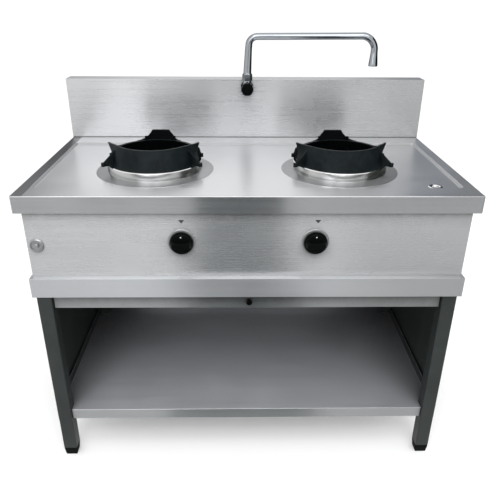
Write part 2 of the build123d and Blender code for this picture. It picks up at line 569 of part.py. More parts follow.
def supply_pipes():
    """Two bent pipes from the valves to the injectors."""
    pipes = []
    for s in SIDES.values():
        y_mid = (VALVE_REAR_Y + INJECTOR_Y) / 2
        route = [(s * KNOB_X, VALVE_REAR_Y, GAS_Z), (s * KNOB_X, y_mid, GAS_Z),
                 (s * BURNER_X, y_mid, GAS_Z), (s * BURNER_X, INJECTOR_Y, GAS_Z)]
        pipes.append(pipe(route, 14.0, 5.0, 3.5))
    return Compound(pipes)


def gas_manifold():
    """Rail under the valves that turns back along the right wall to the rear inlet."""
    left_end, bore = -KNOB_X - 40, MANIFOLD_R - 2.6
    nipple_y = SERVICE_END_Y - NIPPLE_LENGTH
    route = [(left_end, MANIFOLD_Y, MANIFOLD_Z), (MANIFOLD_X, MANIFOLD_Y, MANIFOLD_Z),
             (MANIFOLD_X, nipple_y, MANIFOLD_Z)]
    rail = pipe(route, 40.0, MANIFOLD_R, bore)
    rail += turned_y([(bore, nipple_y), (NIPPLE_R, nipple_y), (NIPPLE_R, SERVICE_END_Y),
                      (bore, SERVICE_END_Y)], MANIFOLD_X, MANIFOLD_Z)
    rail += rod_x(MANIFOLD_Y, MANIFOLD_Z, left_end - 12, left_end + 8, MANIFOLD_R + 3)
    for s in SIDES.values():
        rail += rod_z(s * KNOB_X, MANIFOLD_Y, MANIFOLD_Z + 8.2, MANIFOLD_Z + 16, 9.0)
    return rail


def igniter_body():
    """Piezo igniter: dished bezel in front of the panel, threaded barrel behind it."""
    x, z, y = IGNITER_X, IGNITER_Z, PANEL_Y
    body = turned_y([(0, y), (IGNITER_R, y), (IGNITER_R, y - 1.5), (IGNITER_R - 2.5, y - 4),
                     (IGNITER_R - 4, y - 4), (IGNITER_R - 5, y - 2), (0, y - 2)], x, z)
    body += rod_y(x, z, y, y + 45, 11.5)
    body += rod_y(x, z, y + SHEET, y + SHEET + 5, 15.0)
    body -= rod_y(x, z, y - 5, y + 20, 6.5 + RUN_GAP)
    return body


def igniter_button():
    """Push button with a domed face."""
    x, z, y = IGNITER_X, IGNITER_Z, PANEL_Y
    return turned_y([(0, y + 12), (6.5, y + 12), (6.5, y - 6.5), (5, y - 7.6), (0, y - 8.2)], x, z)


# ------------------------------------------------------------------ water
def tap_body():
    """Pillar valve on the splash: rosette, barrel, boss for the spout and rear inlet."""
    boss_top, nose_y = TAP_Z + 24, TAP_Y - 15
    body = rod_y(TAP_X, TAP_Z, Y_SPLASH - 4, Y_SPLASH, ROSETTE_R)
    body += rod_y(TAP_X, TAP_Z, nose_y, Y_SPLASH, 14.5)
    body += rod_y(TAP_X, TAP_Z, Y_SPLASH, WATER_PIPE_Y - 12, 12.0)
    body += rod_z(TAP_X, TAP_Y, TAP_Z, boss_top, 14.0)
    body -= rod_z(TAP_X, TAP_Y, boss_top - 18, boss_top, SPOUT_R + RUN_GAP)
    body -= rod_y(TAP_X, TAP_Z, nose_y, nose_y + 12, 5.0 + RUN_GAP)
    return body


def tap_nut():
    """Hexagon union nut that holds the spout down in its boss."""
    z0, height = TAP_Z + 24, TAP_NUT_HEIGHT
    blank = Pos(TAP_X, TAP_Y, z0) * extrude(RegularPolygon(16.5, 6), height)
    blank &= turned([(0, z0), (15.5, z0), (16.5, z0 + 2), (16.5, z0 + height - 5),
                     (13.5, z0 + height), (0, z0 + height)], TAP_X, TAP_Y)
    return blank - rod_z(TAP_X, TAP_Y, z0, z0 + height, SPOUT_R + RUN_GAP)


def tap_spout():
    """Swan-neck tube: riser with a tapered foot, long arm, turned-down flared nozzle."""
    bore = SPOUT_R - SPOUT_WALL
    nozzle_top = SPOUT_OUTLET_Z + NOZZLE_LENGTH
    lean_z = TAP_Z + 60
    route = [(TAP_X, TAP_Y, TAP_Z + 10), (TAP_X, TAP_Y, lean_z),
             (TAP_X + 6, TAP_Y - 1, SPOUT_CORNER_Z), (SPOUT_X, SPOUT_Y, SPOUT_ARM_Z),
             (SPOUT_X, SPOUT_Y, nozzle_top)]
    tube = pipe(route, (200.0, 28.0, 42.0), SPOUT_R, bore)
    foot_z, foot_length = TAP_Z + 24 + TAP_NUT_HEIGHT + 1, 80.0
    lean = Plane(origin=(TAP_X + 0.2, TAP_Y, foot_z), z_dir=(5.0, -0.8, SPOUT_CORNER_Z - foot_z))
    foot = Cone(RISER_FOOT_R, SPOUT_R, foot_length) - Cylinder(SPOUT_R - 0.7, foot_length)
    tube += lean * Pos(0, 0, foot_length / 2) * foot
    nozzle = turned([(bore, nozzle_top), (SPOUT_R, nozzle_top), (NOZZLE_R, SPOUT_OUTLET_Z + 4),
                     (NOZZLE_R, SPOUT_OUTLET_Z + 1), (NOZZLE_R - 1, SPOUT_OUTLET_Z),
                     (AERATOR_R, SPOUT_OUTLET_Z), (AERATOR_R, SPOUT_OUTLET_Z + AERATOR_DEPTH),
                     (bore, SPOUT_OUTLET_Z + AERATOR_DEPTH)], SPOUT_X, SPOUT_Y)
    return tube + nozzle


def tap_spindle():
    """Cartridge spindle between the valve and its knob."""
    return rod_y(TAP_X, TAP_Z, TAP_Y - 24, TAP_Y - 4, 5.0)


def tap_knob():
    """Round valve knob with six finger grooves."""
    back, front, radius = TAP_Y - 17, TAP_Y - 40, TAP_KNOB_R
    body = turned_y([(0, back), (radius - 3, back), (radius, back - 4), (radius, front + 4),
                     (radius - 4, front), (0, front - 1)], TAP_X, TAP_Z)
    for i in range(6):
        angle = math.radians(30 + 60 * i)
        body -= rod_y(TAP_X + (radius + 3.5) * math.cos(angle),
                      TAP_Z + (radius + 3.5) * math.sin(angle), front - 2, back + 1, 5.0)
    return body - rod_y(TAP_X, TAP_Z, TAP_Y - 24, back, 5.0)


def water_pipe():
    """Metal tail from the tap down behind the housing, with a threaded nipple."""
    bore = WATER_PIPE_R - 1.5
    route = [(TAP_X, WATER_PIPE_Y - 12, TAP_Z), (TAP_X, WATER_PIPE_Y, TAP_Z),
             (TAP_X, WATER_PIPE_Y, WATER_END_Z)]
    tail = pipe(route, 11.0, WATER_PIPE_R, bore)
    nipple = rod_z(TAP_X, WATER_PIPE_Y, WATER_END_Z, WATER_END_Z + NIPPLE_LENGTH, NIPPLE_R)
    return tail + (nipple - rod_z(TAP_X, WATER_PIPE_Y, WATER_END_Z, WATER_END_Z + NIPPLE_LENGTH, bore))


def drain_flange():
    """Waste fitting in the corner of the well: flange, drilled strainer and tail."""
    z = WELL_FLOOR
    body = turned([(DRAIN_TAIL_R - 3, z), (DRAIN_TAIL_R - 3, z - 24), (DRAIN_TAIL_R, z - 24),
                   (DRAIN_TAIL_R, z), (DRAIN_FLANGE_R, z), (DRAIN_FLANGE_R, z + 0.8),
                   (DRAIN_FLANGE_R - 2, z + 2), (DRAIN_TAIL_R - 1, z + 2)], DRAIN_X, DRAIN_Y)
    strainer = rod_z(DRAIN_X, DRAIN_Y, z - 4, z - 2, DRAIN_TAIL_R - 2)
    for i in range(6):
        angle = math.radians(60 * i)
        strainer -= rod_z(DRAIN_X + 7 * math.cos(angle), DRAIN_Y + 7 * math.sin(angle),
                          z - 4, z - 2, 2.2)
    return body + (strainer - rod_z(DRAIN_X, DRAIN_Y, z - 4, z - 2, 2.2))


def drain_pipe():
    """Waste pipe that falls under the worktop and leaves through the rear wall."""
    top_z, bore, spigot_y = WELL_FLOOR - 24, DRAIN_PIPE_R - 2, SERVICE_END_Y - NIPPLE_LENGTH
    route = [(DRAIN_X, DRAIN_Y, top_z), (DRAIN_X, DRAIN_Y, DRAIN_REAR_Z + 30),
             (DRAIN_X, HOUSING_BACK_Y - 60, DRAIN_REAR_Z), (DRAIN_X, SERVICE_END_Y, DRAIN_REAR_Z)]
    spigot = turned_y([(bore, spigot_y), (DRAIN_SPIGOT_R, spigot_y), (DRAIN_SPIGOT_R, SERVICE_END_Y),
                       (bore, SERVICE_END_Y)], DRAIN_X, DRAIN_REAR_Z)
    return pipe(route, (30.0, 200.0), DRAIN_PIPE_R, bore) + spigot


# ------------------------------------------------------------------ stand
def band_rail(y0, y1, open_towards):
    """Front or rear rail of the stand: folded channel with closed ends."""
    rail = block(-BAND_HALF, BAND_HALF, y0, y1, BAND_BOTTOM, HOUSING_BOTTOM)
    inner_y0 = y0 + SHEET if open_towards > 0 else y0
    inner_y1 = y1 if open_towards > 0 else y1 - SHEET
    rail -= block(-BAND_HALF + SHEET, BAND_HALF - SHEET, inner_y0, inner_y1,
                  BAND_BOTTOM + SHEET, HOUSING_BOTTOM - SHEET)
    return rail


def band_side(side):
    """Side rail of the stand between the front and rear rails."""
    y0, y1 = BAND_Y + BAND_FLANGE, BAND_BACK_Y - BAND_FLANGE
    outer = side * BAND_HALF
    rail = block(side * (BAND_HALF - BAND_SIDE_FLANGE), outer, y0, y1, BAND_BOTTOM, HOUSING_BOTTOM)
    return rail - block(side * (BAND_HALF - BAND_SIDE_FLANGE), outer - side * SHEET, y0, y1,
                        BAND_BOTTOM + SHEET, HOUSING_BOTTOM - SHEET)


def leg_places():
    """Name and (x, y) centre of each leg."""
    x = LEG_OUTER_X - LEG / 2
    rows = {"front": LEG_FRONT_Y + LEG / 2, "rear": LEG_BACK_Y - LEG / 2}
    return {f"{row}_{name}": (s * x, y) for row, y in rows.items() for name, s in SIDES.items()}


def leg(x, y):
    """Square tube leg with rounded corners."""
    outer = extrude(Pos(x, y, LEG_BOTTOM) * RectangleRounded(LEG, LEG, 3), BAND_BOTTOM - LEG_BOTTOM)
    bore = LEG - 2 * LEG_WALL
    return outer - extrude(Pos(x, y, LEG_BOTTOM) * RectangleRounded(bore, bore, 1),
                           BAND_BOTTOM - LEG_BOTTOM)


def leg_inserts():
    """Bored plugs in the feet ends of the legs."""
    bore = LEG - 2 * LEG_WALL
    plugs = []
    for x, y in leg_places().values():
        plug = extrude(Pos(x, y, LEG_BOTTOM) * RectangleRounded(bore, bore, 1), INSERT_HEIGHT)
        plugs.append(plug - rod_z(x, y, LEG_BOTTOM, LEG_BOTTOM + INSERT_HEIGHT,
                                  FOOT_SPINDLE_R + RUN_GAP))
    return Compound(plugs)


def foot(x, y):
    """Levelling foot: tapered pad on a spindle that turns in the leg's plug."""
    return turned([(0, 0), (FOOT_FLOOR_R - 1, 0), (FOOT_FLOOR_R, 1), (FOOT_TOP_R - 2, 22),
                   (FOOT_TOP_R, 24), (FOOT_TOP_R, LEG_BOTTOM), (FOOT_SPINDLE_R, LEG_BOTTOM),
                   (FOOT_SPINDLE_R, FOOT_SPINDLE_TOP - 1), (FOOT_SPINDLE_R - 1, FOOT_SPINDLE_TOP),
                   (0, FOOT_SPINDLE_TOP)], x, y)


def side_panel(side):
    """Thin cladding on the outer faces of two legs, turned in along its bottom edge."""
    x0, x1 = side * LEG_OUTER_X, side * (LEG_OUTER_X + SHEET)
    panel = block(x0, x1, LEG_FRONT_Y + 4, LEG_BACK_Y - 2, PANEL_BOTTOM, BAND_BOTTOM)
    turn_in = block(side * (LEG_OUTER_X - 20), x1, LEG_FRONT_Y + LEG + 2, LEG_BACK_Y - LEG - 2,
                    PANEL_BOTTOM - SHEET, PANEL_BOTTOM)
    return panel + turn_in


def back_panel():
    """Flat rear closing panel screwed to the rear legs."""
    return block(-LEG_OUTER_X, LEG_OUTER_X, LEG_BACK_Y, LEG_BACK_Y + SHEET,
                 PANEL_BOTTOM, BAND_BOTTOM)


def undershelf():
    """Shelf notched round the legs: lips folded down, sides and back turned up."""
    half = LEG_OUTER_X - SHELF_GAP
    leg_inner = LEG_OUTER_X - LEG - 0.5
    y_front, y_back = SHELF_FRONT_Y, LEG_BACK_Y - 0.5
    notch_front, notch_back = LEG_FRONT_Y + LEG + 0.5, LEG_BACK_Y - LEG - 0.5
    right = [(leg_inner, y_front), (leg_inner, notch_front), (half, notch_front),
             (half, notch_back), (leg_inner, notch_back), (leg_inner, y_back)]
    left = [(-x, y) for x, y in reversed(right)]
    plan = make_face(Polyline(*right, *left, close=True))
    inside = offset(plan, -SHEET, kind=Kind.INTERSECTION)
    shelf = extrude(Pos(0, 0, PANEL_BOTTOM) * plan, SHELF_LIP)
    shelf -= extrude(Pos(0, 0, PANEL_BOTTOM) * inside, SHELF_LIP - SHEET)
    front_edge = shelf.edges().filter_by(Axis.X).sort_by(Axis.Y)[:4].sort_by(Axis.Z)[-1:]
    shelf = fillet(front_edge, 1.2)
    top = SHELF_TOP + SHELF_UPSTAND
    for side in SIDES.values():
        shelf += block(side * (half - SHEET), side * half, notch_front, notch_back, SHELF_TOP, top)
    return shelf + block(-leg_inner, leg_inner, y_back - SHEET, y_back, SHELF_TOP, top)


def drip_tray():
    """Shallow tray with a taller front, an edge bead and a finger-height back wall."""
    t = SHEET
    tray = block(-TRAY_HALF, TRAY_HALF, TRAY_FRONT_Y, TRAY_BACK_Y, TRAY_BOTTOM, TRAY_TOP - 8)
    tray -= block(-TRAY_HALF + t, TRAY_HALF - t, TRAY_FRONT_Y + t, TRAY_BACK_Y - t,
                  TRAY_BOTTOM + t, TRAY_TOP)
    tray += block(-TRAY_HALF, TRAY_HALF, TRAY_FRONT_Y, TRAY_FRONT_Y + t, TRAY_BOTTOM, TRAY_TOP)
    tray += block(-TRAY_HALF, TRAY_HALF, TRAY_FRONT_Y, TRAY_FRONT_Y + 10, TRAY_TOP - t, TRAY_TOP)
    return tray - rod_y(TRAY_KNOB_X, TRAY_KNOB_Z, TRAY_FRONT_Y, TRAY_FRONT_Y + t, 2.5)


def drip_tray_knob():
    """Small turned pull knob on the tray's front."""
    y = TRAY_FRONT_Y
    return turned_y([(0, y + 8), (2.4, y + 8), (2.4, y), (4.5, y), (4, y - 4), (8, y - 7),
                     (8, y - 11), (6.5, y - 12.5), (0, y - 13)], TRAY_KNOB_X, TRAY_KNOB_Z)


def tray_runners():
    """Two angle rails on the legs' inner faces that carry the edges of the tray."""
    y0, y1 = TRAY_FRONT_Y + 12, LEG_BACK_Y - 2
    rails = []
    for s in SIDES.values():
        x_leg = s * (LEG_OUTER_X - LEG)
        web = block(x_leg - s * SHEET, x_leg, y0, y1, TRAY_BOTTOM - SHEET, TRAY_BOTTOM + 30)
        rails.append(web + block(x_leg - s * 24, x_leg, y0, y1, TRAY_BOTTOM - SHEET, TRAY_BOTTOM))
    return Compound(rails)


# ------------------------------------------------------------------ build
def build():
    """Every piece of the range by name."""
    pieces = {
        "worktop": worktop(),
        "backsplash": backsplash(),
        "front_panel": front_panel(),
        "housing_back": housing_back(),
        "burner_collars": burner_collars(),
        "burner_caps": burner_caps(),
        "mixing_tubes": mixing_tubes(),
        "injectors": injectors(),
        "pilot_burners": pilot_burners(),
        "ignition_electrodes": probes(1, 3.0, 1.2, HEAD_TOP_Z + 14),
        "thermocouples": probes(2, 3.0, 2.4, HEAD_TOP_Z + 10),
        "knob_bezels": knob_bezels(),
        "supply_pipes": supply_pipes(),
        "gas_manifold": gas_manifold(),
        "igniter_body": igniter_body(),
        "igniter_button": igniter_button(),
        "tap_body": tap_body(),
        "tap_nut": tap_nut(),
        "tap_spout": tap_spout(),
        "tap_spindle": tap_spindle(),
        "tap_knob": tap_knob(),
        "water_pipe": water_pipe(),
        "drain_flange": drain_flange(),
        "drain_pipe": drain_pipe(),
        "band_front": band_rail(BAND_Y, BAND_Y + BAND_FLANGE, 1),
        "band_rear": band_rail(BAND_BACK_Y - BAND_FLANGE, BAND_BACK_Y, -1),
        "leg_inserts": leg_inserts(),
        "back_panel": back_panel(),
        "undershelf": undershelf(),
        "drip_tray": drip_tray(),
        "drip_tray_knob": drip_tray_knob(),
        "tray_runners": tray_runners(),
    }
    for name, side in SIDES.items():
        pieces[f"housing_{name}"] = housing_side(side)
        pieces[f"wok_ring_{name}"] = wok_ring(side)
        pieces[f"flame_bowl_{name}"] = flame_bowl(side)
        pieces[f"burner_head_{name}"] = burner_head(side)
        pieces[f"gas_valve_{name}"] = gas_valve(side)
        pieces[f"valve_plug_{name}"] = valve_plug(side)
        pieces[f"valve_spindle_{name}"] = valve_spindle(side)
        pieces[f"knob_{name}"] = knob(side)
        pieces[f"band_{name}"] = band_side(side)
        pieces[f"side_panel_{name}"] = side_panel(side)
    for name, (x, y) in leg_places().items():
        pieces[f"leg_{name}"] = leg(x, y)
        pieces[f"foot_{name}"] = foot(x, y)
    return pieces


def main():
    """Write every piece."""
    os.makedirs("parts", exist_ok=True)
    for name, shape in build().items():
        write(name, shape)


main()
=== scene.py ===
"""Finishes, small hardware and studio for the two-burner wok range.

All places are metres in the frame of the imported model: floor at z = 0, the cook
stands at -Y, and +X is the cook's right.
"""
import json
import logging
import math
from dataclasses import dataclass
from enum import Enum
from typing import Callable, Iterable, Optional, Sequence

import bmesh
import bpy
from mathutils import Matrix, Vector

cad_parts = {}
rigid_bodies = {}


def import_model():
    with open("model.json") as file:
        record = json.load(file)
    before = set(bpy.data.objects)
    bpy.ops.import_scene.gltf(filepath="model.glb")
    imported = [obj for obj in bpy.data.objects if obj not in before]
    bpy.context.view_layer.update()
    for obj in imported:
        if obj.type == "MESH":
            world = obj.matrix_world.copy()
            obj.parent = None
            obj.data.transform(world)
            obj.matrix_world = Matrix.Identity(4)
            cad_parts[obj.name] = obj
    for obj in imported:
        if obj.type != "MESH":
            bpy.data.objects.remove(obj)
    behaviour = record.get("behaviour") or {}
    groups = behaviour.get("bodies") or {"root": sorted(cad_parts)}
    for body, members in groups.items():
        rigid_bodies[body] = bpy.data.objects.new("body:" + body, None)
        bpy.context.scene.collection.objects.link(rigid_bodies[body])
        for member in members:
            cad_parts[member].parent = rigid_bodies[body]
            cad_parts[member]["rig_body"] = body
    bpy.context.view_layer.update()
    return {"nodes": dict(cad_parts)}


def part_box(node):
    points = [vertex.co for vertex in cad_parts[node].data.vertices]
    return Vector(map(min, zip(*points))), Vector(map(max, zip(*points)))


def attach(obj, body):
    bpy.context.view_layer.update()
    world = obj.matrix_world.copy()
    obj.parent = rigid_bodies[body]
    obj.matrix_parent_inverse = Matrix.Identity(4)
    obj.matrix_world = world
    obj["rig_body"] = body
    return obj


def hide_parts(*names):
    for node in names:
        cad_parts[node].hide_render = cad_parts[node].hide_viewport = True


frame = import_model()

logging.basicConfig(level=logging.INFO, format="%(message)s")
log = logging.getLogger("wok_range")

MM = 0.001
Point = tuple[float, float, float]
Colour = tuple[float, float, float]
NODES: dict[str, bpy.types.Object] = frame["nodes"]


class Grain(Enum):
    """Direction in which a sheet was brushed."""

    ALONG_X = (1.0, 0.0, 0.0)
    ALONG_Y = (0.0, 1.0, 0.0)


class Side(Enum):
    """The two hands of the range."""

    LEFT = -1
    RIGHT = 1

    @property
    def word(self) -> str:
        """Lower-case name, as it is used in node names."""
        return self.name.lower()


# --------------------------------------------------------------------------- node tools
@dataclass
class Tree:
    """A thin layer over a node tree that adds and links nodes in one call."""

    tree: bpy.types.NodeTree

    def add(self, kind: str, inputs: Optional[dict] = None, **props: object) -> bpy.types.Node:
        """Add a node.

        Args:
            kind: Node type name.
            inputs: Values or output sockets by input name or index.
            props: Node properties to set first.

        Returns:
            The new node.
        """
        node = self.tree.nodes.new(kind)
        for name, value in props.items():
            setattr(node, name, value)
        for name, value in (inputs or {}).items():
            self.put(node.inputs[name], value)
        return node

    def put(self, socket: bpy.types.NodeSocket, value: object) -> None:
        """Link an output socket to an input, or set the input's own value."""
        if isinstance(value, bpy.types.NodeSocket):
            self.tree.links.new(value, socket)
        else:
            socket.default_value = value

    def math(self, operation: str, *values: object) -> bpy.types.NodeSocket:
        """Add a Math node and return its output."""
        return self.add("ShaderNodeMath", dict(enumerate(values)), operation=operation).outputs[0]

    def vector(self, operation: str, *values: object) -> bpy.types.NodeSocket:
        """Add a Vector Math node and return its vector output."""
        node = self.add("ShaderNodeVectorMath", dict(enumerate(values)), operation=operation)
        return node.outputs[0]

    def ramp(self, value: object, low: float, high: float, out_low: float = 0.0,
             out_high: float = 1.0, smooth: bool = False) -> bpy.types.NodeSocket:
        """Map a value from one range to another, clamped, and return the result."""
        node = self.add("ShaderNodeMapRange", {"Value": value, "From Min": low, "From Max": high,
                                               "To Min": out_low, "To Max": out_high})
        node.interpolation_type = "SMOOTHSTEP" if smooth else "LINEAR"
        return node.outputs["Result"]

    def mix(self, factor: object, first: object, second: object) -> bpy.types.NodeSocket:
        """Mix two colours and return the result."""
        node = self.add("ShaderNodeMix", data_type="RGBA")
        self.put(node.inputs[0], factor)
        self.put(node.inputs[6], first)
        self.put(node.inputs[7], second)
        return node.outputs[2]

    def noise(self, vector: object, scale: object, detail: float = 3.0, roughness: float = 0.5,
              distortion: float = 0.0) -> bpy.types.NodeSocket:
        """Add a noise texture and return its factor."""
        node = self.add("ShaderNodeTexNoise", {"Vector": vector, "Scale": scale, "Detail": detail,
                                               "Roughness": roughness, "Distortion": distortion})
        return node.outputs["Fac"]


FLOAT, VECTOR, GEOMETRY = "NodeSocketFloat", "NodeSocketVector", "NodeSocketGeometry"
Inputs = Sequence[tuple[str, str, object]]
Outputs = Sequence[tuple[str, str]]
Group = tuple[Tree, bpy.types.Node, bpy.types.Node]


def node_group(kind: str, name: str, inputs: Inputs, outputs: Outputs) -> Group:
    """Start a node group with named sockets.

    Args:
        kind: Type of its node tree.
        name: Name of the group.
        inputs: Name, socket type and default of each input.
        outputs: Name and socket type of each output.

    Returns:
        The tree, its input node and its output node.
    """
    group = bpy.data.node_groups.new(name, kind)
    for title, socket_type, value in inputs:
        socket = group.interface.new_socket(title, in_out="INPUT", socket_type=socket_type)
        if value is not None:
            socket.default_value = value
    for title, socket_type in outputs:
        group.interface.new_socket(title, in_out="OUTPUT", socket_type=socket_type)
    tree = Tree(group)
    return tree, tree.add("NodeGroupInput"), tree.add("NodeGroupOutput")


def shader_group(name: str, inputs: Inputs, outputs: Outputs) -> Group:
    """Start a shader node group whose first input is the coordinates."""
    return node_group("ShaderNodeTree", name, [("Vector", VECTOR, None), *inputs], outputs)


def geometry_group(name: str, inputs: Inputs) -> Group:
    """Start a Geometry Nodes tree that takes a geometry and gives one back."""
    return node_group("GeometryNodeTree", name, [("Geometry", GEOMETRY, None), *inputs],
                      [("Geometry", GEOMETRY)])


def blank_material(name: str) -> tuple[bpy.types.Material, Tree]:
    """Make a material whose node tree is still empty."""
    material = bpy.data.materials.new(name)
    material.use_nodes = True
    material.node_tree.nodes.clear()
    return material, Tree(material.node_tree)


def make_brushed_grain() -> bpy.types.NodeTree:
    """Fine parallel scratches, broad streaks and soft wipe marks of brushed sheet."""
    tree, given, out = shader_group(
        "brushed_grain",
        [("Stretch", VECTOR, (1.0, 60.0, 60.0)),
         ("Fineness", FLOAT, 60.0), ("Wipe Scale", FLOAT, 5.0)],
        [("Height", FLOAT), ("Streaks", FLOAT), ("Wipes", FLOAT)])
    lined = tree.vector("MULTIPLY", given.outputs["Vector"], given.outputs["Stretch"])
    fine = tree.noise(lined, given.outputs["Fineness"], 4.0, 0.65)
    scratches = tree.noise(lined, tree.math("MULTIPLY", given.outputs["Fineness"], 0.35), 2.0, 0.5)
    sharp = tree.ramp(scratches, 0.58, 0.72)
    tree.put(out.inputs["Height"], tree.math("SUBTRACT", fine, tree.math("MULTIPLY", sharp, 0.25)))
    tree.put(out.inputs["Streaks"],
             tree.noise(lined, tree.math("MULTIPLY", given.outputs["Fineness"], 0.06), 3.0, 0.6))
    tree.put(out.inputs["Wipes"],
             tree.noise(given.outputs["Vector"], given.outputs["Wipe Scale"], 3.0, 0.55, 1.2))
    return tree.tree


def make_edge_wear() -> bpy.types.NodeTree:
    """Mask of the rubbed edges, broken up by noise."""
    tree, given, out = shader_group(
        "edge_wear",
        [("Width", FLOAT, 0.002), ("Break Up", FLOAT, 90.0)],
        [("Mask", FLOAT)])
    rounded = tree.add("ShaderNodeBevel", {"Radius": given.outputs["Width"]}, samples=4)
    flat = tree.add("ShaderNodeNewGeometry")
    facing = tree.add("ShaderNodeVectorMath",
                      {0: rounded.outputs["Normal"], 1: flat.outputs["Normal"]},
                      operation="DOT_PRODUCT").outputs["Value"]
    edge = tree.ramp(tree.math("SUBTRACT", 1.0, facing), 0.02, 0.25)
    speck = tree.ramp(tree.noise(given.outputs["Vector"], given.outputs["Break Up"], 5.0, 0.7),
                      0.42, 0.62)
    tree.put(out.inputs["Mask"], tree.math("MULTIPLY", edge, speck))
    return tree.tree


def make_cast_skin() -> bpy.types.NodeTree:
    """Sand-cast skin: grit, shallow dimples and patches of heavier coating."""
    tree, given, out = shader_group(
        "cast_skin",
        [("Grit", FLOAT, 900.0), ("Dimples", FLOAT, 140.0)],
        [("Height", FLOAT), ("Patches", FLOAT)])
    grit = tree.noise(given.outputs["Vector"], given.outputs["Grit"], 4.0, 0.6)
    cells = tree.add("ShaderNodeTexVoronoi",
                     {"Vector": given.outputs["Vector"], "Scale": given.outputs["Dimples"]},
                     feature="SMOOTH_F1")
    height = tree.math("ADD", tree.math("MULTIPLY", grit, 0.5),
                       tree.math("MULTIPLY", cells.outputs["Distance"], 0.5))
    tree.put(out.inputs["Height"], height)
    tree.put(out.inputs["Patches"], tree.noise(given.outputs["Vector"], 22.0, 4.0, 0.6, 0.6))
    return tree.tree


def make_moulded_skin() -> bpy.types.NodeTree:
    """Fine leatherette spark texture and faint mottling of a plastic moulding."""
    tree, given, out = shader_group(
        "moulded_skin", [("Spark", FLOAT, 1600.0)],
        [("Height", FLOAT), ("Mottle", FLOAT)])
    tree.put(out.inputs["Height"], tree.noise(given.outputs["Vector"], given.outputs["Spark"], 3.0))
    tree.put(out.inputs["Mottle"], tree.noise(given.outputs["Vector"], 70.0, 4.0, 0.6))
    return tree.tree


def make_crevice_grime() -> bpy.types.NodeTree:
    """Mask of painted shade that darkens upright sheet below an overhang."""
    tree, given, out = shader_group(
        "crevice_grime", [("Reach", FLOAT, 0.03)], [("Mask", FLOAT)])
    normal = tree.add("ShaderNodeNewGeometry").outputs["Normal"]
    raised = tree.vector("NORMALIZE", tree.vector("ADD", normal, (0.0, 0.0, 1.0)))
    open_sky = tree.add("ShaderNodeAmbientOcclusion", {"Distance": given.outputs["Reach"],
                                                       "Normal": raised}, samples=8)
    upright = tree.math("ABSOLUTE", tree.add("ShaderNodeSeparateXYZ", {0: normal}).outputs["Z"])
    mottle = tree.noise(given.outputs["Vector"], 35.0, 4.0, 0.6)
    closed = tree.math("ADD", tree.math("SUBTRACT", 1.0, open_sky.outputs["AO"]),
                       tree.ramp(mottle, 0.3, 0.7, -0.03, 0.03))
    tree.put(out.inputs["Mask"], tree.math("MULTIPLY", tree.ramp(closed, 0.2, 0.7),
                                           tree.ramp(upright, 0.2, 0.5, 1.0, 0.0)))
    return tree.tree


def make_bay_shade() -> bpy.types.NodeTree:
    """How open a place is, for painted shade deep inside a bay."""
    tree, given, out = shader_group(
        "bay_shade", [("Reach", FLOAT, 0.4)], [("Openness", FLOAT)])
    sky = tree.add("ShaderNodeAmbientOcclusion", {"Distance": given.outputs["Reach"]}, samples=12)
    drift = tree.ramp(tree.noise(given.outputs["Vector"], 4.0, 3.0, 0.5), 0.3, 0.7, -0.03, 0.03)
    tree.put(out.inputs["Openness"],
             tree.ramp(tree.math("ADD", sky.outputs["AO"], drift), 0.05, 0.55, smooth=True))
    return tree.tree


GROUPS: dict[str, bpy.types.NodeTree] = {
    "bay": make_bay_shade(), "brushed": make_brushed_grain(), "wear": make_edge_wear(),
    "grime": make_crevice_grime(), "cast": make_cast_skin(), "moulded": make_moulded_skin()}


# --------------------------------------------------------------------------- finishes
@dataclass(frozen=True)
class Finish:
    """A finish that shows on the range. Subclasses wire up what makes it special."""

    name: str
    colour: Colour
    roughness: float

    def material(self) -> bpy.types.Material:
        """Build the material."""
        material, tree = blank_material(self.name)
        shader = tree.add("ShaderNodeBsdfPrincipled")
        tree.add("ShaderNodeOutputMaterial", {"Surface": shader.outputs["BSDF"]})
        self.wire(tree, shader, tree.add("ShaderNodeTexCoord").outputs["Object"])
        return material

    def wire(self, tree: Tree, shader: bpy.types.Node, where: bpy.types.NodeSocket) -> None:
        """Wire up what makes the finish special.

        Args:
            tree: Node tree of the material.
            shader: Its Principled BSDF.
            where: Object coordinates.
        """
        raise NotImplementedError

    def group(self, tree: Tree, key: str, where: bpy.types.NodeSocket,
              **values: object) -> bpy.types.Node:
        """Place a shared group in the material with this finish's own values."""
        node = tree.add("ShaderNodeGroup", node_tree=GROUPS[key])
        tree.put(node.inputs["Vector"], where)
        for title, value in values.items():
            node.inputs[title.replace("_", " ")].default_value = value
        return node

    def bump(self, tree: Tree, shader: bpy.types.Node, height: bpy.types.NodeSocket,
             depth: float, strength: float) -> None:
        """Feed a height to the shader's normal."""
        node = tree.add("ShaderNodeBump",
                        {"Strength": strength, "Distance": depth, "Height": height})
        tree.put(shader.inputs["Normal"], node.outputs["Normal"])

    def roughen(self, tree: Tree, shader: bpy.types.Node, mask: bpy.types.NodeSocket, low: float,
                high: float, smoother: float, rougher: float) -> None:
        """Let the roughness drift round the finish's own between two levels of a mask."""
        tree.put(shader.inputs["Roughness"],
                 tree.ramp(mask, low, high, self.roughness - smoother, self.roughness + rougher))

    def mottled(self, tree: Tree, mask: bpy.types.NodeSocket, low: float, high: float,
                darker: float, lighter: float) -> bpy.types.NodeSocket:
        """The finish's colour, drifting between two shades with a mask."""
        return tree.mix(tree.ramp(mask, low, high), self.shade(darker), self.shade(lighter))

    def shade(self, factor: float) -> tuple[float, float, float, float]:
        """The finish's colour multiplied by a factor, with alpha."""
        return tuple(channel * factor for channel in self.colour) + (1.0,)


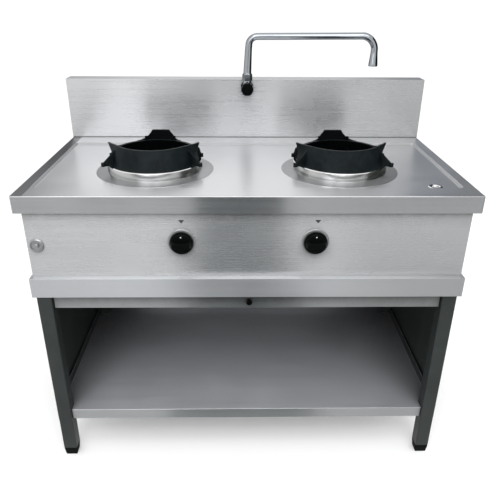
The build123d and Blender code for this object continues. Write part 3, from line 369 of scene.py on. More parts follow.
@dataclass(frozen=True)
class BrushedSteel(Finish):
    """Brushed stainless sheet whose reflections spread across the grain."""

    grain: Grain = Grain.ALONG_X
    spread: float = 0.9
    streaks: float = 0.009
    depth: float = 0.0000028
    # Strength and reach of the painted shade on upright sheet below overhangs.
    grime: float = 0.8
    reach: float = 0.03
    metallic: float = 1.0
    # Reach and tone of the painted shade deep inside a bay; a reach of zero leaves it out.
    bay: float = 0.0
    bay_tone: float = 0.12
    # Colour of the painted shade below overhangs.
    dirt: Colour = (0.03, 0.032, 0.032)
    nudge: Point = (0.0003, 0.0007, 0.0011)

    def wire(self, tree: Tree, shader: bpy.types.Node, where: bpy.types.NodeSocket) -> None:
        """Grain height, streaky roughness, painted shade in creases and bays, and an anisotropic
        highlight.
        """
        stretch = tuple(1.0 if value else 60.0 for value in self.grain.value)
        steel = self.group(tree, "brushed", where, Stretch=stretch, Fineness=45.0, Wipe_Scale=4.0)
        normal = tree.add("ShaderNodeNewGeometry").outputs["Normal"]
        # The nudge keeps the product off zero on faces that look along the grain.
        along = Vector(self.grain.value) + Vector(self.nudge)
        across = tree.vector("CROSS_PRODUCT", normal, tuple(along))
        tree.put(shader.inputs["Tangent"], tree.vector("NORMALIZE", across))
        shader.inputs["Anisotropic"].default_value = self.spread
        shader.inputs["Metallic"].default_value = self.metallic
        tone = tree.math("ADD", tree.math("MULTIPLY", steel.outputs["Streaks"], 0.6),
                         tree.math("MULTIPLY", steel.outputs["Wipes"], 0.4))
        sheet = self.mottled(tree, tone, 0.3, 0.7, 1 - self.streaks, 1 + self.streaks)
        # Painted shade: the sheet darkens deep inside a bay, where little is open round it.
        if self.bay:
            depth = self.group(tree, "bay", where, Reach=self.bay)
            sheet = tree.mix(depth.outputs["Openness"], self.shade(self.bay_tone), sheet)
        # Painted shade: upright sheet darkens below an overhang.
        crease = self.group(tree, "grime", where, Reach=self.reach)
        tree.put(shader.inputs["Base Color"],
                 tree.mix(tree.math("MULTIPLY", crease.outputs["Mask"], self.grime), sheet,
                          self.dirt + (1.0,)))
        rough = tree.math("ADD", tree.ramp(steel.outputs["Streaks"], 0.3, 0.7,
                                           self.roughness - 0.02, self.roughness + 0.02),
                          tree.ramp(steel.outputs["Wipes"], 0.35, 0.75, -0.01, 0.03))
        tree.put(shader.inputs["Roughness"], rough)
        self.bump(tree, shader, steel.outputs["Height"], self.depth, 0.35)


@dataclass(frozen=True)
class PolishedSteel(Finish):
    """Buffed steel or chrome plate with faint polishing lines and handling haze."""

    lines: float = 14.0

    def wire(self, tree: Tree, shader: bpy.types.Node, where: bpy.types.NodeSocket) -> None:
        """Near-mirror metal whose roughness drifts with haze."""
        steel = self.group(tree, "brushed", where, Stretch=(1.0, 1.0, 30.0), Fineness=self.lines,
                           Wipe_Scale=14.0)
        shader.inputs["Metallic"].default_value = 1.0
        tree.put(shader.inputs["Base Color"],
                 self.mottled(tree, steel.outputs["Wipes"], 0.35, 0.7, 0.95, 1.03))
        self.roughen(tree, shader, steel.outputs["Wipes"], 0.3, 0.75, 0.0, 0.07)
        self.bump(tree, shader, steel.outputs["Height"], 0.000006, 0.3)


@dataclass(frozen=True)
class CastIron(Finish):
    """Sand-cast iron under a thin black coat, rubbed to bare metal on its edges."""

    wear: Colour = (0.1, 0.11, 0.11)
    tint: Colour = (0.008, 0.012, 0.013)
    # Colour of the painted shade in creases.
    crevice: Colour = (0.0004, 0.0008, 0.001)
    specular: float = 0.1

    def wire(self, tree: Tree, shader: bpy.types.Node, where: bpy.types.NodeSocket) -> None:
        """Grit and dimples in the height, coat patches in colour, painted shade in creases, worn
        edges.
        """
        skin = self.group(tree, "cast", where)
        edge = self.group(tree, "wear", where, Width=0.0022, Break_Up=160.0)
        coat = tree.mix(tree.ramp(skin.outputs["Patches"], 0.35, 0.7), self.shade(1.0),
                        self.tint + (1.0,))
        # Painted shade: the coat darkens in creases below an overhang.
        crease = self.group(tree, "grime", where, Reach=0.05)
        coat = tree.mix(crease.outputs["Mask"], coat, self.crevice + (1.0,))
        tree.put(shader.inputs["Base Color"],
                 tree.mix(tree.math("MULTIPLY", edge.outputs["Mask"], 0.3), coat,
                          self.wear + (1.0,)))
        tree.put(shader.inputs["Metallic"], tree.math("MULTIPLY", edge.outputs["Mask"], 0.5))
        self.roughen(tree, shader, skin.outputs["Patches"], 0.3, 0.75, 0.1, 0.12)
        shader.inputs["Specular IOR Level"].default_value = self.specular
        self.bump(tree, shader, skin.outputs["Height"], 0.00035, 0.45)


@dataclass(frozen=True)
class HeatedSteel(Finish):
    """Steel bowl blued and browned by the flame, darker towards the burner."""

    sooted: Colour = (0.012, 0.012, 0.014)
    blued: Colour = (0.035, 0.04, 0.055)
    straw: Colour = (0.09, 0.075, 0.06)
    climb: float = 20.0 * MM

    def wire(self, tree: Tree, shader: bpy.types.Node, where: bpy.types.NodeSocket) -> None:
        """Colour runs from soot near the burner to straw and steel at the rim."""
        skin = self.group(tree, "cast", where, Grit=500.0, Dimples=60.0)
        height = tree.add("ShaderNodeSeparateXYZ", {0: where}).outputs["Z"]
        drift = tree.math("ADD", height, tree.math("MULTIPLY", skin.outputs["Patches"], 0.03))
        low, high = (corner.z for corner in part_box("flame_bowl_left"))
        level = tree.ramp(drift, low + self.climb, high + self.climb)
        ramp = tree.add("ShaderNodeValToRGB", {"Fac": level})
        stops = ramp.color_ramp.elements
        stops[0].color = self.sooted + (1.0,)
        stops[1].color = self.shade(1.0)
        for place, colour in ((0.45, self.blued), (0.75, self.straw)):
            stops.new(place).color = colour + (1.0,)
        tree.put(shader.inputs["Base Color"], ramp.outputs["Color"])
        shader.inputs["Metallic"].default_value = 0.75
        self.roughen(tree, shader, skin.outputs["Patches"], 0.3, 0.7, 0.06, 0.14)
        self.bump(tree, shader, skin.outputs["Height"], 0.0001, 0.3)


@dataclass(frozen=True)
class CoatedSteel(Finish):
    """Satin coated steel with orange peel, scuffs and slightly rubbed edges."""

    rubbed: Colour = (0.22, 0.22, 0.22)
    metallic: float = 0.0
    specular: float = 0.5

    def wire(self, tree: Tree, shader: bpy.types.Node, where: bpy.types.NodeSocket) -> None:
        """Orange peel height, scuffed roughness and pale edges."""
        peel = self.group(tree, "moulded", where, Spark=420.0)
        scuffs = self.group(tree, "brushed", where, Stretch=(12.0, 12.0, 1.0), Fineness=9.0,
                            Wipe_Scale=6.0)
        edge = self.group(tree, "wear", where, Width=0.0012, Break_Up=120.0)
        base = self.mottled(tree, scuffs.outputs["Wipes"], 0.3, 0.7, 0.85, 1.2)
        tree.put(shader.inputs["Base Color"],
                 tree.mix(tree.math("MULTIPLY", edge.outputs["Mask"], 0.35), base,
                          self.rubbed + (1.0,)))
        shader.inputs["Metallic"].default_value = self.metallic
        shader.inputs["Specular IOR Level"].default_value = self.specular
        self.roughen(tree, shader, scuffs.outputs["Streaks"], 0.3, 0.7, 0.06, 0.08)
        self.bump(tree, shader, peel.outputs["Height"], 0.00006, 0.25)


@dataclass(frozen=True)
class Moulding(Finish):
    """Moulded plastic or rubber."""

    coat: float = 0.0
    spark_depth: float = 0.00004
    specular: float = 0.5

    def wire(self, tree: Tree, shader: bpy.types.Node, where: bpy.types.NodeSocket) -> None:
        """Spark texture, mottled roughness and an optional gloss coat."""
        skin = self.group(tree, "moulded", where)
        tree.put(shader.inputs["Base Color"],
                 self.mottled(tree, skin.outputs["Mottle"], 0.3, 0.7, 0.85, 1.2))
        self.roughen(tree, shader, skin.outputs["Mottle"], 0.3, 0.7, 0.05, 0.07)
        shader.inputs["Specular IOR Level"].default_value = self.specular
        shader.inputs["Coat Weight"].default_value = self.coat
        shader.inputs["Coat Roughness"].default_value = 0.12
        self.bump(tree, shader, skin.outputs["Height"], self.spark_depth, 0.4)


@dataclass(frozen=True)
class MachinedMetal(Finish):
    """Turned or drawn metal: brass, copper, aluminium."""

    tarnish: Colour = (0.2, 0.15, 0.08)

    def wire(self, tree: Tree, shader: bpy.types.Node, where: bpy.types.NodeSocket) -> None:
        """Turning marks and patches of tarnish."""
        lines = self.group(tree, "brushed", where, Stretch=(30.0, 30.0, 30.0), Fineness=20.0,
                           Wipe_Scale=30.0)
        shader.inputs["Metallic"].default_value = 1.0
        old = tree.ramp(lines.outputs["Wipes"], 0.5, 0.8, 0.0, 0.55)
        tree.put(shader.inputs["Base Color"],
                 tree.mix(old, self.shade(1.0), self.tarnish + (1.0,)))
        self.roughen(tree, shader, lines.outputs["Wipes"], 0.3, 0.8, 0.0, 0.2)
        self.bump(tree, shader, lines.outputs["Height"], 0.00002, 0.3)


STEEL_TONE: Colour = (0.555, 0.56, 0.57)


class Finishes:
    """Every finish of the range, built once."""

    def __init__(self) -> None:
        """Build all the materials."""
        self.top = BrushedSteel("worktop_steel", STEEL_TONE, 0.34, spread=0.8).material()
        # The panel's painted shade below the lip is stronger and reaches further.
        self.panel = BrushedSteel("panel_steel", (0.6, 0.605, 0.61), 0.27, grime=0.85,
                                  reach=0.045).material()
        self.side_sheet = BrushedSteel("side_sheet_steel", STEEL_TONE, 0.3,
                                       Grain.ALONG_Y).material()
        self.band = BrushedSteel("band_steel", (0.49, 0.5, 0.51), 0.4).material()
        self.splash = BrushedSteel("splash_steel", (0.49, 0.495, 0.5), 0.27).material()
        # The tray's painted shade reaches further into its recess below the band.
        self.tray = BrushedSteel("tray_steel", (0.41, 0.42, 0.42), 0.3, reach=0.06).material()
        # The shelf darkens deep in its bay: painted shade.
        self.shelf = BrushedSteel("shelf_steel", (0.54, 0.55, 0.58), 0.42, spread=0.8,
                                  metallic=0.79, bay=0.42).material()
        # Darker copy of the brushed sheet on bends, the splash top and the bezels: painted shade.
        self.bend = BrushedSteel("bend_steel", (0.35, 0.355, 0.36), 0.4).material()
        # Darker finish on the left rim only: a painted reflection.
        self.rim = BrushedSteel("rim_steel", (0.2, 0.204, 0.208), 0.36, Grain.ALONG_Y).material()
        self.lip = BrushedSteel("lip_steel", (0.47, 0.475, 0.48), 0.2).material()
        # Darker copy of the sheet on the collars' skirts: painted shade round each collar.
        self.skirt = BrushedSteel("skirt_steel", (0.28, 0.285, 0.29), 0.36, spread=0.8).material()
        self.collar = PolishedSteel("polished_collar", (0.78, 0.78, 0.77), 0.1).material()
        self.chrome = PolishedSteel("chrome_plate", (0.33, 0.35, 0.37), 0.06).material()
        self.satin = PolishedSteel("satin_steel", (0.36, 0.36, 0.37), 0.3).material()
        self.iron = CastIron("black_cast_iron", (0.002, 0.004, 0.005), 0.5).material()
        self.soot = CastIron("sooted_cast_iron", (0.0005, 0.0009, 0.0012), 0.7,
                             tint=(0.0012, 0.0018, 0.002), specular=0.03).material()
        self.bowl = HeatedSteel("heated_bowl_steel", (0.11, 0.11, 0.11), 0.42).material()
        self.dark = CoatedSteel("dark_frame_coat", (0.018, 0.022, 0.021), 0.45,
                                specular=0.3).material()
        self.pipe = CoatedSteel("black_pipe_paint", (0.02, 0.02, 0.021), 0.4).material()
        self.brass = MachinedMetal("valve_brass", (0.72, 0.52, 0.24), 0.3).material()
        self.copper = MachinedMetal("copper_tail", (0.78, 0.42, 0.28), 0.28,
                                    tarnish=(0.22, 0.1, 0.06)).material()
        self.alloy = MachinedMetal("drawn_alloy", (0.7, 0.7, 0.71), 0.32,
                                   tarnish=(0.4, 0.4, 0.4)).material()
        self.knob = Moulding("knob_moulding", (0.0015, 0.002, 0.002), 0.3,
                             specular=0.04).material()
        self.black = Moulding("black_moulding", (0.0012, 0.0012, 0.0012), 0.35,
                              specular=0.03).material()
        self.rubber = Moulding("foot_rubber", (0.003, 0.0042, 0.0036), 0.7, spark_depth=0.0001,
                               specular=0.05).material()
        self.ceramic = Moulding("white_ceramic", (0.75, 0.74, 0.7), 0.25, coat=0.5).material()
        self.print = Moulding("dark_print", (0.02, 0.02, 0.02), 0.5, spark_depth=0.00001).material()
        self.pointer = Moulding("pale_pointer", (0.6, 0.6, 0.6), 0.45).material()
        self.sealant = Moulding("grey_sealant", (0.05, 0.05, 0.05), 0.5).material()


# --------------------------------------------------------------------------- mesh tools
def to_data(name: str, mesh: bmesh.types.BMesh) -> bpy.types.Mesh:
    """Keep a bmesh as a mesh of that name, and free it."""
    data = bpy.data.meshes.new(name)
    mesh.to_mesh(data)
    mesh.free()
    return data


def to_scene(name: str, data: bpy.types.ID) -> bpy.types.Object:
    """Make an object of its data and link it to the scene."""
    obj = bpy.data.objects.new(name, data)
    bpy.context.scene.collection.objects.link(obj)
    return obj


def give(obj: bpy.types.Object, *materials: bpy.types.Material) -> None:
    """Put one or more materials on an object without moving its faces' indices."""
    indices = [face.material_index for face in obj.data.polygons]
    obj.data.materials.clear()
    for material in materials:
        obj.data.materials.append(material)
    if len(obj.data.materials) > 1:
        obj.data.polygons.foreach_set("material_index", indices)


def new_piece(name: str, mesh: bmesh.types.BMesh, material: bpy.types.Material, body: str,
              smooth: float = 35.0) -> bpy.types.Object:
    """Turn a finished bmesh into a piece of the range.

    Args:
        name: Piece name.
        mesh: Geometry in the frame, freed here.
        material: Its finish.
        body: Body it rides on.
        smooth: Angle in degrees below which edges are shaded smooth.

    Returns:
        The new object.
    """
    bmesh.ops.recalc_face_normals(mesh, faces=mesh.faces)
    obj = to_scene(name, to_data(name, mesh))
    shade_smooth(obj.data, smooth)
    give(obj, material)
    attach(obj, body)
    return obj


def shade_smooth(data: bpy.types.Mesh, angle: float) -> None:
    """Shade a mesh smooth and keep the edges sharper than the angle."""
    data.shade_smooth()
    data.set_sharp_from_angle(angle=math.radians(angle))


def flatten(obj: bpy.types.Object) -> None:
    """Weigh the normals by face area, so that flat sheet reflects flat."""
    modifier = obj.modifiers.new("weigh", "WEIGHTED_NORMAL")
    modifier.keep_sharp = True
    modifier.weight = 100
    graph = bpy.context.evaluated_depsgraph_get()
    data = bpy.data.meshes.new_from_object(obj.evaluated_get(graph), depsgraph=graph)
    obj.modifiers.remove(modifier)
    data.name = obj.data.name
    obj.data = data


# Parts of a face's unit normal: looking straight along an axis, lying flat, and just tilted.
SQUARE, LEVEL, TILTED = 0.9, 0.97, 0.1
Picked = tuple[bpy.types.Material, Callable[[bmesh.types.BMFace], bool]]


def faces_side(face: bmesh.types.BMFace) -> bool:
    """Whether a face looks left or right."""
    return abs(face.normal.x) > SQUARE


def faces_up(face: bmesh.types.BMFace) -> bool:
    """Whether a face looks up."""
    return face.normal.z > SQUARE


def faces_cook(face: bmesh.types.BMFace) -> bool:
    """Whether a face looks to the front."""
    return face.normal.y < -SQUARE


@dataclass(frozen=True)
class Refined:
    """A CAD node's own surface, merged and given rounded edges for its highlights."""

    node: str
    edge: float = 0.4
    segments: int = 2
    sharper_than: float = 28.0
    merge: float = 0.01 * MM
    one_plane: float = 0.6
    smooth: float = 32.0

    def build(self, material: bpy.types.Material, slot: str, *picked: Picked,
              shape: Optional[Callable[[bmesh.types.BMesh], None]] = None) -> bpy.types.Object:
        """Make the piece and let it stand for its node.

        Args:
            material: Its finish.
            slot: Record slot of the node; not used.
            picked: Other finishes, each with the test for its faces.
            shape: Fine adjustment of the merged surface.

        Returns:
            The piece.
        """
        mesh = bmesh.new()
        mesh.from_mesh(NODES[self.node].data)
        bmesh.ops.remove_doubles(mesh, verts=mesh.verts, dist=self.merge)
        if shape:
            shape(mesh)
        bmesh.ops.dissolve_limit(mesh, angle_limit=math.radians(self.one_plane),
                                 verts=mesh.verts, edges=mesh.edges,
                                 delimit={"NORMAL", "MATERIAL"})
        mesh.normal_update()
        for face in mesh.faces:
            found = [i for i, (_, test) in enumerate(picked, 1) if test(face)]
            face.material_index = found[0] if found else 0
        if self.edge:
            limit = math.radians(self.sharper_than)
            hard = [e for e in mesh.edges if e.is_manifold and e.calc_face_angle(0.0) > limit]
            bmesh.ops.bevel(mesh, geom=hard, offset=self.edge * MM, segments=self.segments,
                            profile=0.5, affect="EDGES", clamp_overlap=True, miter_outer="ARC")
        skin = self.node + "_skin"
        obj = to_scene(skin, to_data(skin, mesh))
        shade_smooth(obj.data, self.smooth)
        flatten(obj)
        give(obj, material, *(finish for finish, _ in picked))
        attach(obj, NODES[self.node]["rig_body"])
        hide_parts(self.node)
        return obj


def dress(material: bpy.types.Material, *names: str) -> None:
    """Give CAD nodes a finish and leave their shape as it is."""
    for name in names:
        give(NODES[name], material)


def loft(mesh: bmesh.types.BMesh, rings: Sequence[Sequence[bmesh.types.BMVert]]) -> None:
    """Join closed rings of points, each to the next, with four-sided faces."""
    for lower, upper in zip(rings, rings[1:]):
        for i in range(len(lower)):
            j = (i + 1) % len(lower)
            mesh.faces.new((lower[i], lower[j], upper[j], upper[i]))


def disc(centre: Vector, normal: Vector, radius: float, height: float,
         sides: int = 24) -> bmesh.types.BMesh:
    """A low button with a rounded rim.

    Args:
        centre: Middle of its base.
        normal: Direction it stands up.
        radius: Outer radius.
        height: Height of the rim.
        sides: Corners round it.

    Returns:
        The new bmesh.
    """
    mesh = bmesh.new()
    rings = []
    for reach, rise in ((radius, 0.0), (radius, height * 0.7), (radius * 0.96, height)):
        rings.append([mesh.verts.new((reach * math.cos(2 * math.pi * i / sides),
                                      reach * math.sin(2 * math.pi * i / sides), rise))
                      for i in range(sides)])
    loft(mesh, rings)
    top = mesh.verts.new((0.0, 0.0, height))
    for i in range(sides):
        mesh.faces.new((rings[-1][i], rings[-1][(i + 1) % sides], top))
    mesh.faces.new(list(reversed(rings[0])))
    turn = Vector((0.0, 0.0, 1.0)).rotation_difference(normal).to_matrix().to_4x4()
    mesh.transform(Matrix.Translation(centre) @ turn)
    return mesh


def strip(start: Vector, end: Vector, first: Vector, second: Vector, size: float,
          steps: int = 5) -> bmesh.types.BMesh:
    """A concave bead of sealant along an inner corner.

    Args:
        start: Corner point at one end.
        end: Corner point at the other end.
        first: Unit direction of one wall of the corner.
        second: Unit direction of the other wall.
        size: Leg of the bead.
        steps: Facets of its hollow.

    Returns:
        The new bmesh.
    """
    mesh = bmesh.new()
    outline = [Vector((0.0, 0.0, 0.0))]
    for i in range(steps + 1):
        angle = math.pi / 2 * i / steps
        outline.append(first * size * (1 - math.sin(angle))
                       + second * size * (1 - math.cos(angle)))
    ends = [[mesh.verts.new(place + offset) for offset in outline] for place in (start, end)]
    loft(mesh, ends)
    mesh.faces.new(ends[0])
    mesh.faces.new(list(reversed(ends[1])))
    return mesh


# --------------------------------------------------------------------------- geometry nodes
def grown(name: str, points: bpy.types.Mesh, tree: bpy.types.NodeTree,
          values: dict[str, object], body: str, smooth: float) -> bpy.types.Object:
    """Run a Geometry Nodes tree on a mesh of points and keep the plain result.

    Args:
        name: Piece name.
        points: Mesh that the tree starts from.
        tree: The tree.
        values: Input values by name.
        body: Body the piece rides on.
        smooth: Angle below which edges are shaded smooth.

    Returns:
        The finished piece.
    """
    carrier = to_scene(name + "_points", points)
    modifier = carrier.modifiers.new("grow", "NODES")
    modifier.node_group = tree
    for item in tree.interface.items_tree:
        if item.item_type == "SOCKET" and item.in_out == "INPUT" and item.name in values:
            modifier[item.identifier] = values[item.name]
    graph = bpy.context.evaluated_depsgraph_get()
    data = bpy.data.meshes.new_from_object(carrier.evaluated_get(graph), depsgraph=graph)
    carrier.modifiers.remove(modifier)
    bpy.data.objects.remove(carrier)
    data.name = name
    obj = to_scene(name, data)
    shade_smooth(data, smooth)
    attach(obj, body)
    return obj


def point_mesh(name: str, places: Iterable[Point]) -> bpy.types.Mesh:
    """A mesh of loose points."""
    data = bpy.data.meshes.new(name)
    data.from_pydata([tuple(place) for place in places], [], [])
    return data


def make_screw_tree() -> bpy.types.NodeTree:
    """Pan-head screws on points: head radius, head height, facing and finish are inputs."""
    tree, given, out = geometry_group(
        "screws_on_points",
        [("Head Radius", FLOAT, 0.004), ("Head Height", FLOAT, 0.0022),
         ("Facing", "NodeSocketVector", (0.0, 0.0, 0.0)), ("Seed", "NodeSocketInt", 3),
         ("Finish", "NodeSocketMaterial", None)])
    radius, height = given.outputs["Head Radius"], given.outputs["Head Height"]
    skirt = tree.add("GeometryNodeMeshCylinder", {"Vertices": 20, "Side Segments": 1,
                                                  "Fill Segments": 3, "Radius": radius,
                                                  "Depth": height}, fill_type="NGON")
    where = tree.add("GeometryNodeInputPosition").outputs[0]
    parts = tree.add("ShaderNodeSeparateXYZ", {0: where})
    upper = tree.math("GREATER_THAN", parts.outputs["Z"], 0.0)
    inset = tree.math("SUBTRACT", 1.0, tree.math("MULTIPLY", upper, 0.22))
    pulled = tree.add("ShaderNodeCombineXYZ", {
        "X": tree.math("MULTIPLY", parts.outputs["X"], inset),
        "Y": tree.math("MULTIPLY", parts.outputs["Y"], inset),
        "Z": tree.math("ADD", parts.outputs["Z"], tree.math("MULTIPLY", height, 0.5))})
    domed = tree.add("GeometryNodeSetPosition", {"Geometry": skirt.outputs["Mesh"],
                                                 "Position": pulled.outputs[0]})
    slots = []
    for width, length in ((0.28, 1.3), (1.3, 0.28)):
        size = tree.add("ShaderNodeCombineXYZ", {
            "X": tree.math("MULTIPLY", radius, width), "Y": tree.math("MULTIPLY", radius, length),
            "Z": tree.math("MULTIPLY", height, 0.9)})
        bar = tree.add("GeometryNodeMeshCube", {"Size": size.outputs[0]})
        lift = tree.add("ShaderNodeCombineXYZ", {"Z": tree.math("MULTIPLY", height, 1.05)})
        moved = tree.add("GeometryNodeTransform", {"Geometry": bar.outputs["Mesh"],
                                                   "Translation": lift.outputs[0]})
        slots.append(moved.outputs[0])
    recess = tree.add("GeometryNodeMeshBoolean", operation="UNION", solver="EXACT")
    cut = tree.add("GeometryNodeMeshBoolean", operation="DIFFERENCE", solver="EXACT")
    for bar in slots:
        tree.tree.links.new(bar, recess.inputs["Mesh 2"])
    tree.put(cut.inputs["Mesh 1"], domed.outputs[0])
    tree.tree.links.new(recess.outputs[0], cut.inputs["Mesh 2"])
    spin = tree.add("FunctionNodeRandomValue", {"Seed": given.outputs["Seed"]}, data_type="FLOAT")
    spin.inputs[3].default_value = 3.0
    turned = tree.add("GeometryNodeInstanceOnPoints", {"Points": given.outputs["Geometry"],
                                                       "Instance": cut.outputs[0],
                                                       "Rotation": given.outputs["Facing"]})
    twist = tree.add("ShaderNodeCombineXYZ", {"Z": spin.outputs[1]})
    rotated = tree.add("GeometryNodeRotateInstances", {"Instances": turned.outputs[0],
                                                       "Rotation": twist.outputs[0]})
    real = tree.add("GeometryNodeRealizeInstances", {0: rotated.outputs[0]})
    painted = tree.add("GeometryNodeSetMaterial", {"Geometry": real.outputs[0],
                                                   "Material": given.outputs["Finish"]})
    tree.put(out.inputs[0], painted.outputs[0])
    return tree.tree


def make_thread_tree() -> bpy.types.NodeTree:
    """A thread ridge wound round a nipple: radius, pitch, length and finish are inputs."""
    tree, given, out = geometry_group(
        "thread_on_nipple",
        [("Radius", FLOAT, 0.0105), ("Pitch", FLOAT, 0.0018), ("Length", FLOAT, 0.02),
         ("Start", "NodeSocketVector", (0.0, 0.0, 0.0)), ("Facing", "NodeSocketVector", (0, 0, 0)),
         ("Finish", "NodeSocketMaterial", None)])
    turns = tree.math("DIVIDE", given.outputs["Length"], given.outputs["Pitch"])
    helix = tree.add("GeometryNodeCurveSpiral", {
        "Resolution": 28, "Rotations": turns, "Start Radius": given.outputs["Radius"],
        "End Radius": given.outputs["Radius"], "Height": given.outputs["Length"]})
    ridge = tree.add("GeometryNodeCurvePrimitiveCircle", {
        "Resolution": 4, "Radius": tree.math("MULTIPLY", given.outputs["Pitch"], 0.42)})
    tube = tree.add("GeometryNodeCurveToMesh", {"Curve": helix.outputs[0],
                                                "Profile Curve": ridge.outputs[0],
                                                "Fill Caps": True})
    placed = tree.add("GeometryNodeTransform", {"Geometry": tube.outputs[0],
                                                "Translation": given.outputs["Start"],
                                                "Rotation": given.outputs["Facing"]})
    real = tree.add("GeometryNodeRealizeInstances", {0: placed.outputs[0]})
    painted = tree.add("GeometryNodeSetMaterial", {"Geometry": real.outputs[0],
                                                   "Material": given.outputs["Finish"]})
    tree.put(out.inputs[0], painted.outputs[0])
    return tree.tree


# --------------------------------------------------------------------------- sub-assemblies
# The right burner's axis. The left one is its mirror image.
BURNER_X, BURNER_Y = 267.0 * MM, -71.0 * MM


def burner_polar(place: Vector) -> tuple[float, float]:
    """Distance from the nearer burner's axis, and degrees from the range's outer side."""
    hand = 1.0 if place.x > 0.0 else -1.0
    x, y = hand * place.x - BURNER_X, place.y - BURNER_Y
    return math.hypot(x, y), math.degrees(math.atan2(y, x))


@dataclass
class Worktop:
    """Pressed top, splash, burner collars, waste fitting and the sealed joint."""

    finishes: Finishes
    seal: float = 2.2 * MM
    seal_inset: float = 1.5 * MM
    rim_inner: float = -569.0 * MM
    seat_radius: float = 136.5 * MM
    front_bend: float = -300.0 * MM
    lip_tilt: float = 0.2

    def build(self) -> None:
        """Dress the sheet metal and run the sealant along the splash."""
        # The left rim takes a darker finish, a painted reflection, and the bends a darker copy,
        # painted shade.
        Refined("worktop", 0.5, 3).build(
            self.finishes.top, "stainless", (self.finishes.rim, self.on_rim),
            (self.finishes.bend, self.on_bend), (self.finishes.lip, self.on_lip),
            (self.finishes.side_sheet, faces_side), shape=self.part_rim)
        # The splash's top takes the bends' darker copy of the sheet: painted shade.
        Refined("backsplash", 0.5, 3).build(
            self.finishes.splash, "stainless", (self.finishes.side_sheet, faces_side),
            (self.finishes.bend, faces_up))
        # The skirts take a darker copy of the sheet: painted shade round the collars.
        Refined("burner_collars", 0.5, 3).build(
            self.finishes.collar, "polished_steel", (self.finishes.skirt, self.on_skirt))
        Refined("drain_flange", 0.3, 2).build(self.finishes.collar, "polished_steel")
        self.joint()

    def on_rim(self, face: bmesh.types.BMFace) -> bool:
        """Whether a face is on the upper side of the left rim."""
        return (face.normal.z > TILTED and face.normal.x > -TILTED
                and face.calc_center_median().x < self.rim_inner)

    def on_bend(self, face: bmesh.types.BMFace) -> bool:
        """Whether a face belongs to a rounded bend behind the front edge."""
        return (TILTED < face.normal.z < LEVEL
                and face.calc_center_median().y > self.front_bend)

    def on_lip(self, face: bmesh.types.BMFace) -> bool:
        """Whether a face belongs to the front lip or its bend."""
        return face.normal.y < -self.lip_tilt

    def on_skirt(self, face: bmesh.types.BMFace) -> bool:
        """Whether a collar's face is on the skirt outside its seat."""
        return burner_polar(face.calc_center_median())[0] > self.seat_radius

    def part_rim(self, mesh: bmesh.types.BMesh) -> None:
        """Cut the flat top along the inner edge of its left rim, so that it takes a painted
        reflection.
        """
        flat = [face for face in mesh.faces if face.normal.z > LEVEL]
        near = list({part for face in flat for part in (*face.verts, *face.edges, face)})
        bmesh.ops.bisect_plane(mesh, geom=near, dist=0.01 * MM,
                               plane_co=(self.rim_inner, 0.0, 0.0), plane_no=(1.0, 0.0, 0.0))
        for face in mesh.faces:
            face.material_index = int(face.calc_center_median().x < self.rim_inner)

    def joint(self) -> None:
        """Dark bead where the splash stands on the worktop."""
        low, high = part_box("backsplash")
        bead = strip(Vector((low.x + self.seal_inset, low.y, low.z)),
                     Vector((high.x - self.seal_inset, low.y, low.z)),
                     Vector((0.0, -1.0, 0.0)), Vector((0.0, 0.0, 1.0)), self.seal)
        new_piece("splash_sealant", bead, self.finishes.sealant, "range")


@dataclass
class Burner:
    """One burner: cast ring, flame bowl and head. Its cap is dressed with the services."""

    finishes: Finishes
    side: Side
    flame_facing: float = 0.35
    low_rim: float = 932.0 * MM
    rib_from: float = 10.0
    rib_to: float = 17.0
    rib_root: float = 118.0 * MM
    rib_margin: float = 0.5 * MM
    rib_sink: float = 1.0 * MM
    tip_angle: float = 3.0
    tip_spread: float = 5.0
    tip_from: float = 20.0 * MM
    tip_lift: float = 7.0 * MM
    rest_from: float = 95.0 * MM
    rest_ramp: float = 14.0 * MM
    rest_height: float = 27.0 * MM
    rest_push: float = 12.0 * MM
    rest_fall: float = 0.45

    def build(self) -> None:
        """Dress the pieces of this side."""
        word = self.side.word
        Refined(f"wok_ring_{word}", 0.9, 3, 24.0).build(
            self.finishes.iron, "cast_iron", (self.finishes.soot, self.faces_flame),
            shape=self.settle_ring)
        Refined(f"burner_head_{word}", 0.5, 2).build(self.finishes.iron, "cast_iron")
        dress(self.finishes.bowl, f"flame_bowl_{word}")

    def faces_flame(self, face: bmesh.types.BMFace) -> bool:
        """Whether a face of the ring looks towards the burner's axis."""
        place = face.calc_center_median()
        inward = Vector((self.side.value * BURNER_X - place.x, BURNER_Y - place.y, 0.0))
        return face.normal.dot(inward.normalized()) > self.flame_facing

    def settle_ring(self, mesh: bmesh.types.BMesh) -> None:
        """Sharpen the ring's tips, sink the rear side ribs and broaden the pan rest inwards."""
        for vert in mesh.verts:
            radius, angle = burner_polar(vert.co)
            height = vert.co.z - self.low_rim
            # Degrees towards the rear from the X axis, alike on the ring's two sides.
            rearward = math.copysign(min(abs(angle), 180.0 - abs(angle)), angle)
            if (height > self.rib_margin and self.rib_from < rearward < self.rib_to
                    and radius < self.rib_root):
                vert.co.z = self.low_rim - self.rib_sink
            if height > self.tip_from:
                near = math.exp(-((rearward - self.tip_angle) / self.tip_spread) ** 2)
                vert.co.z += self.tip_lift * near
            if height > 0.0 and angle > 90.0 and vert.co.y > BURNER_Y + self.rest_from:
                share = min(1.0, height / self.rest_height)
                ramp = min(1.0, height / self.rest_ramp)
                push = self.rest_push * ramp * (1.0 - self.rest_fall * share)
                vert.co.x -= self.side.value * push


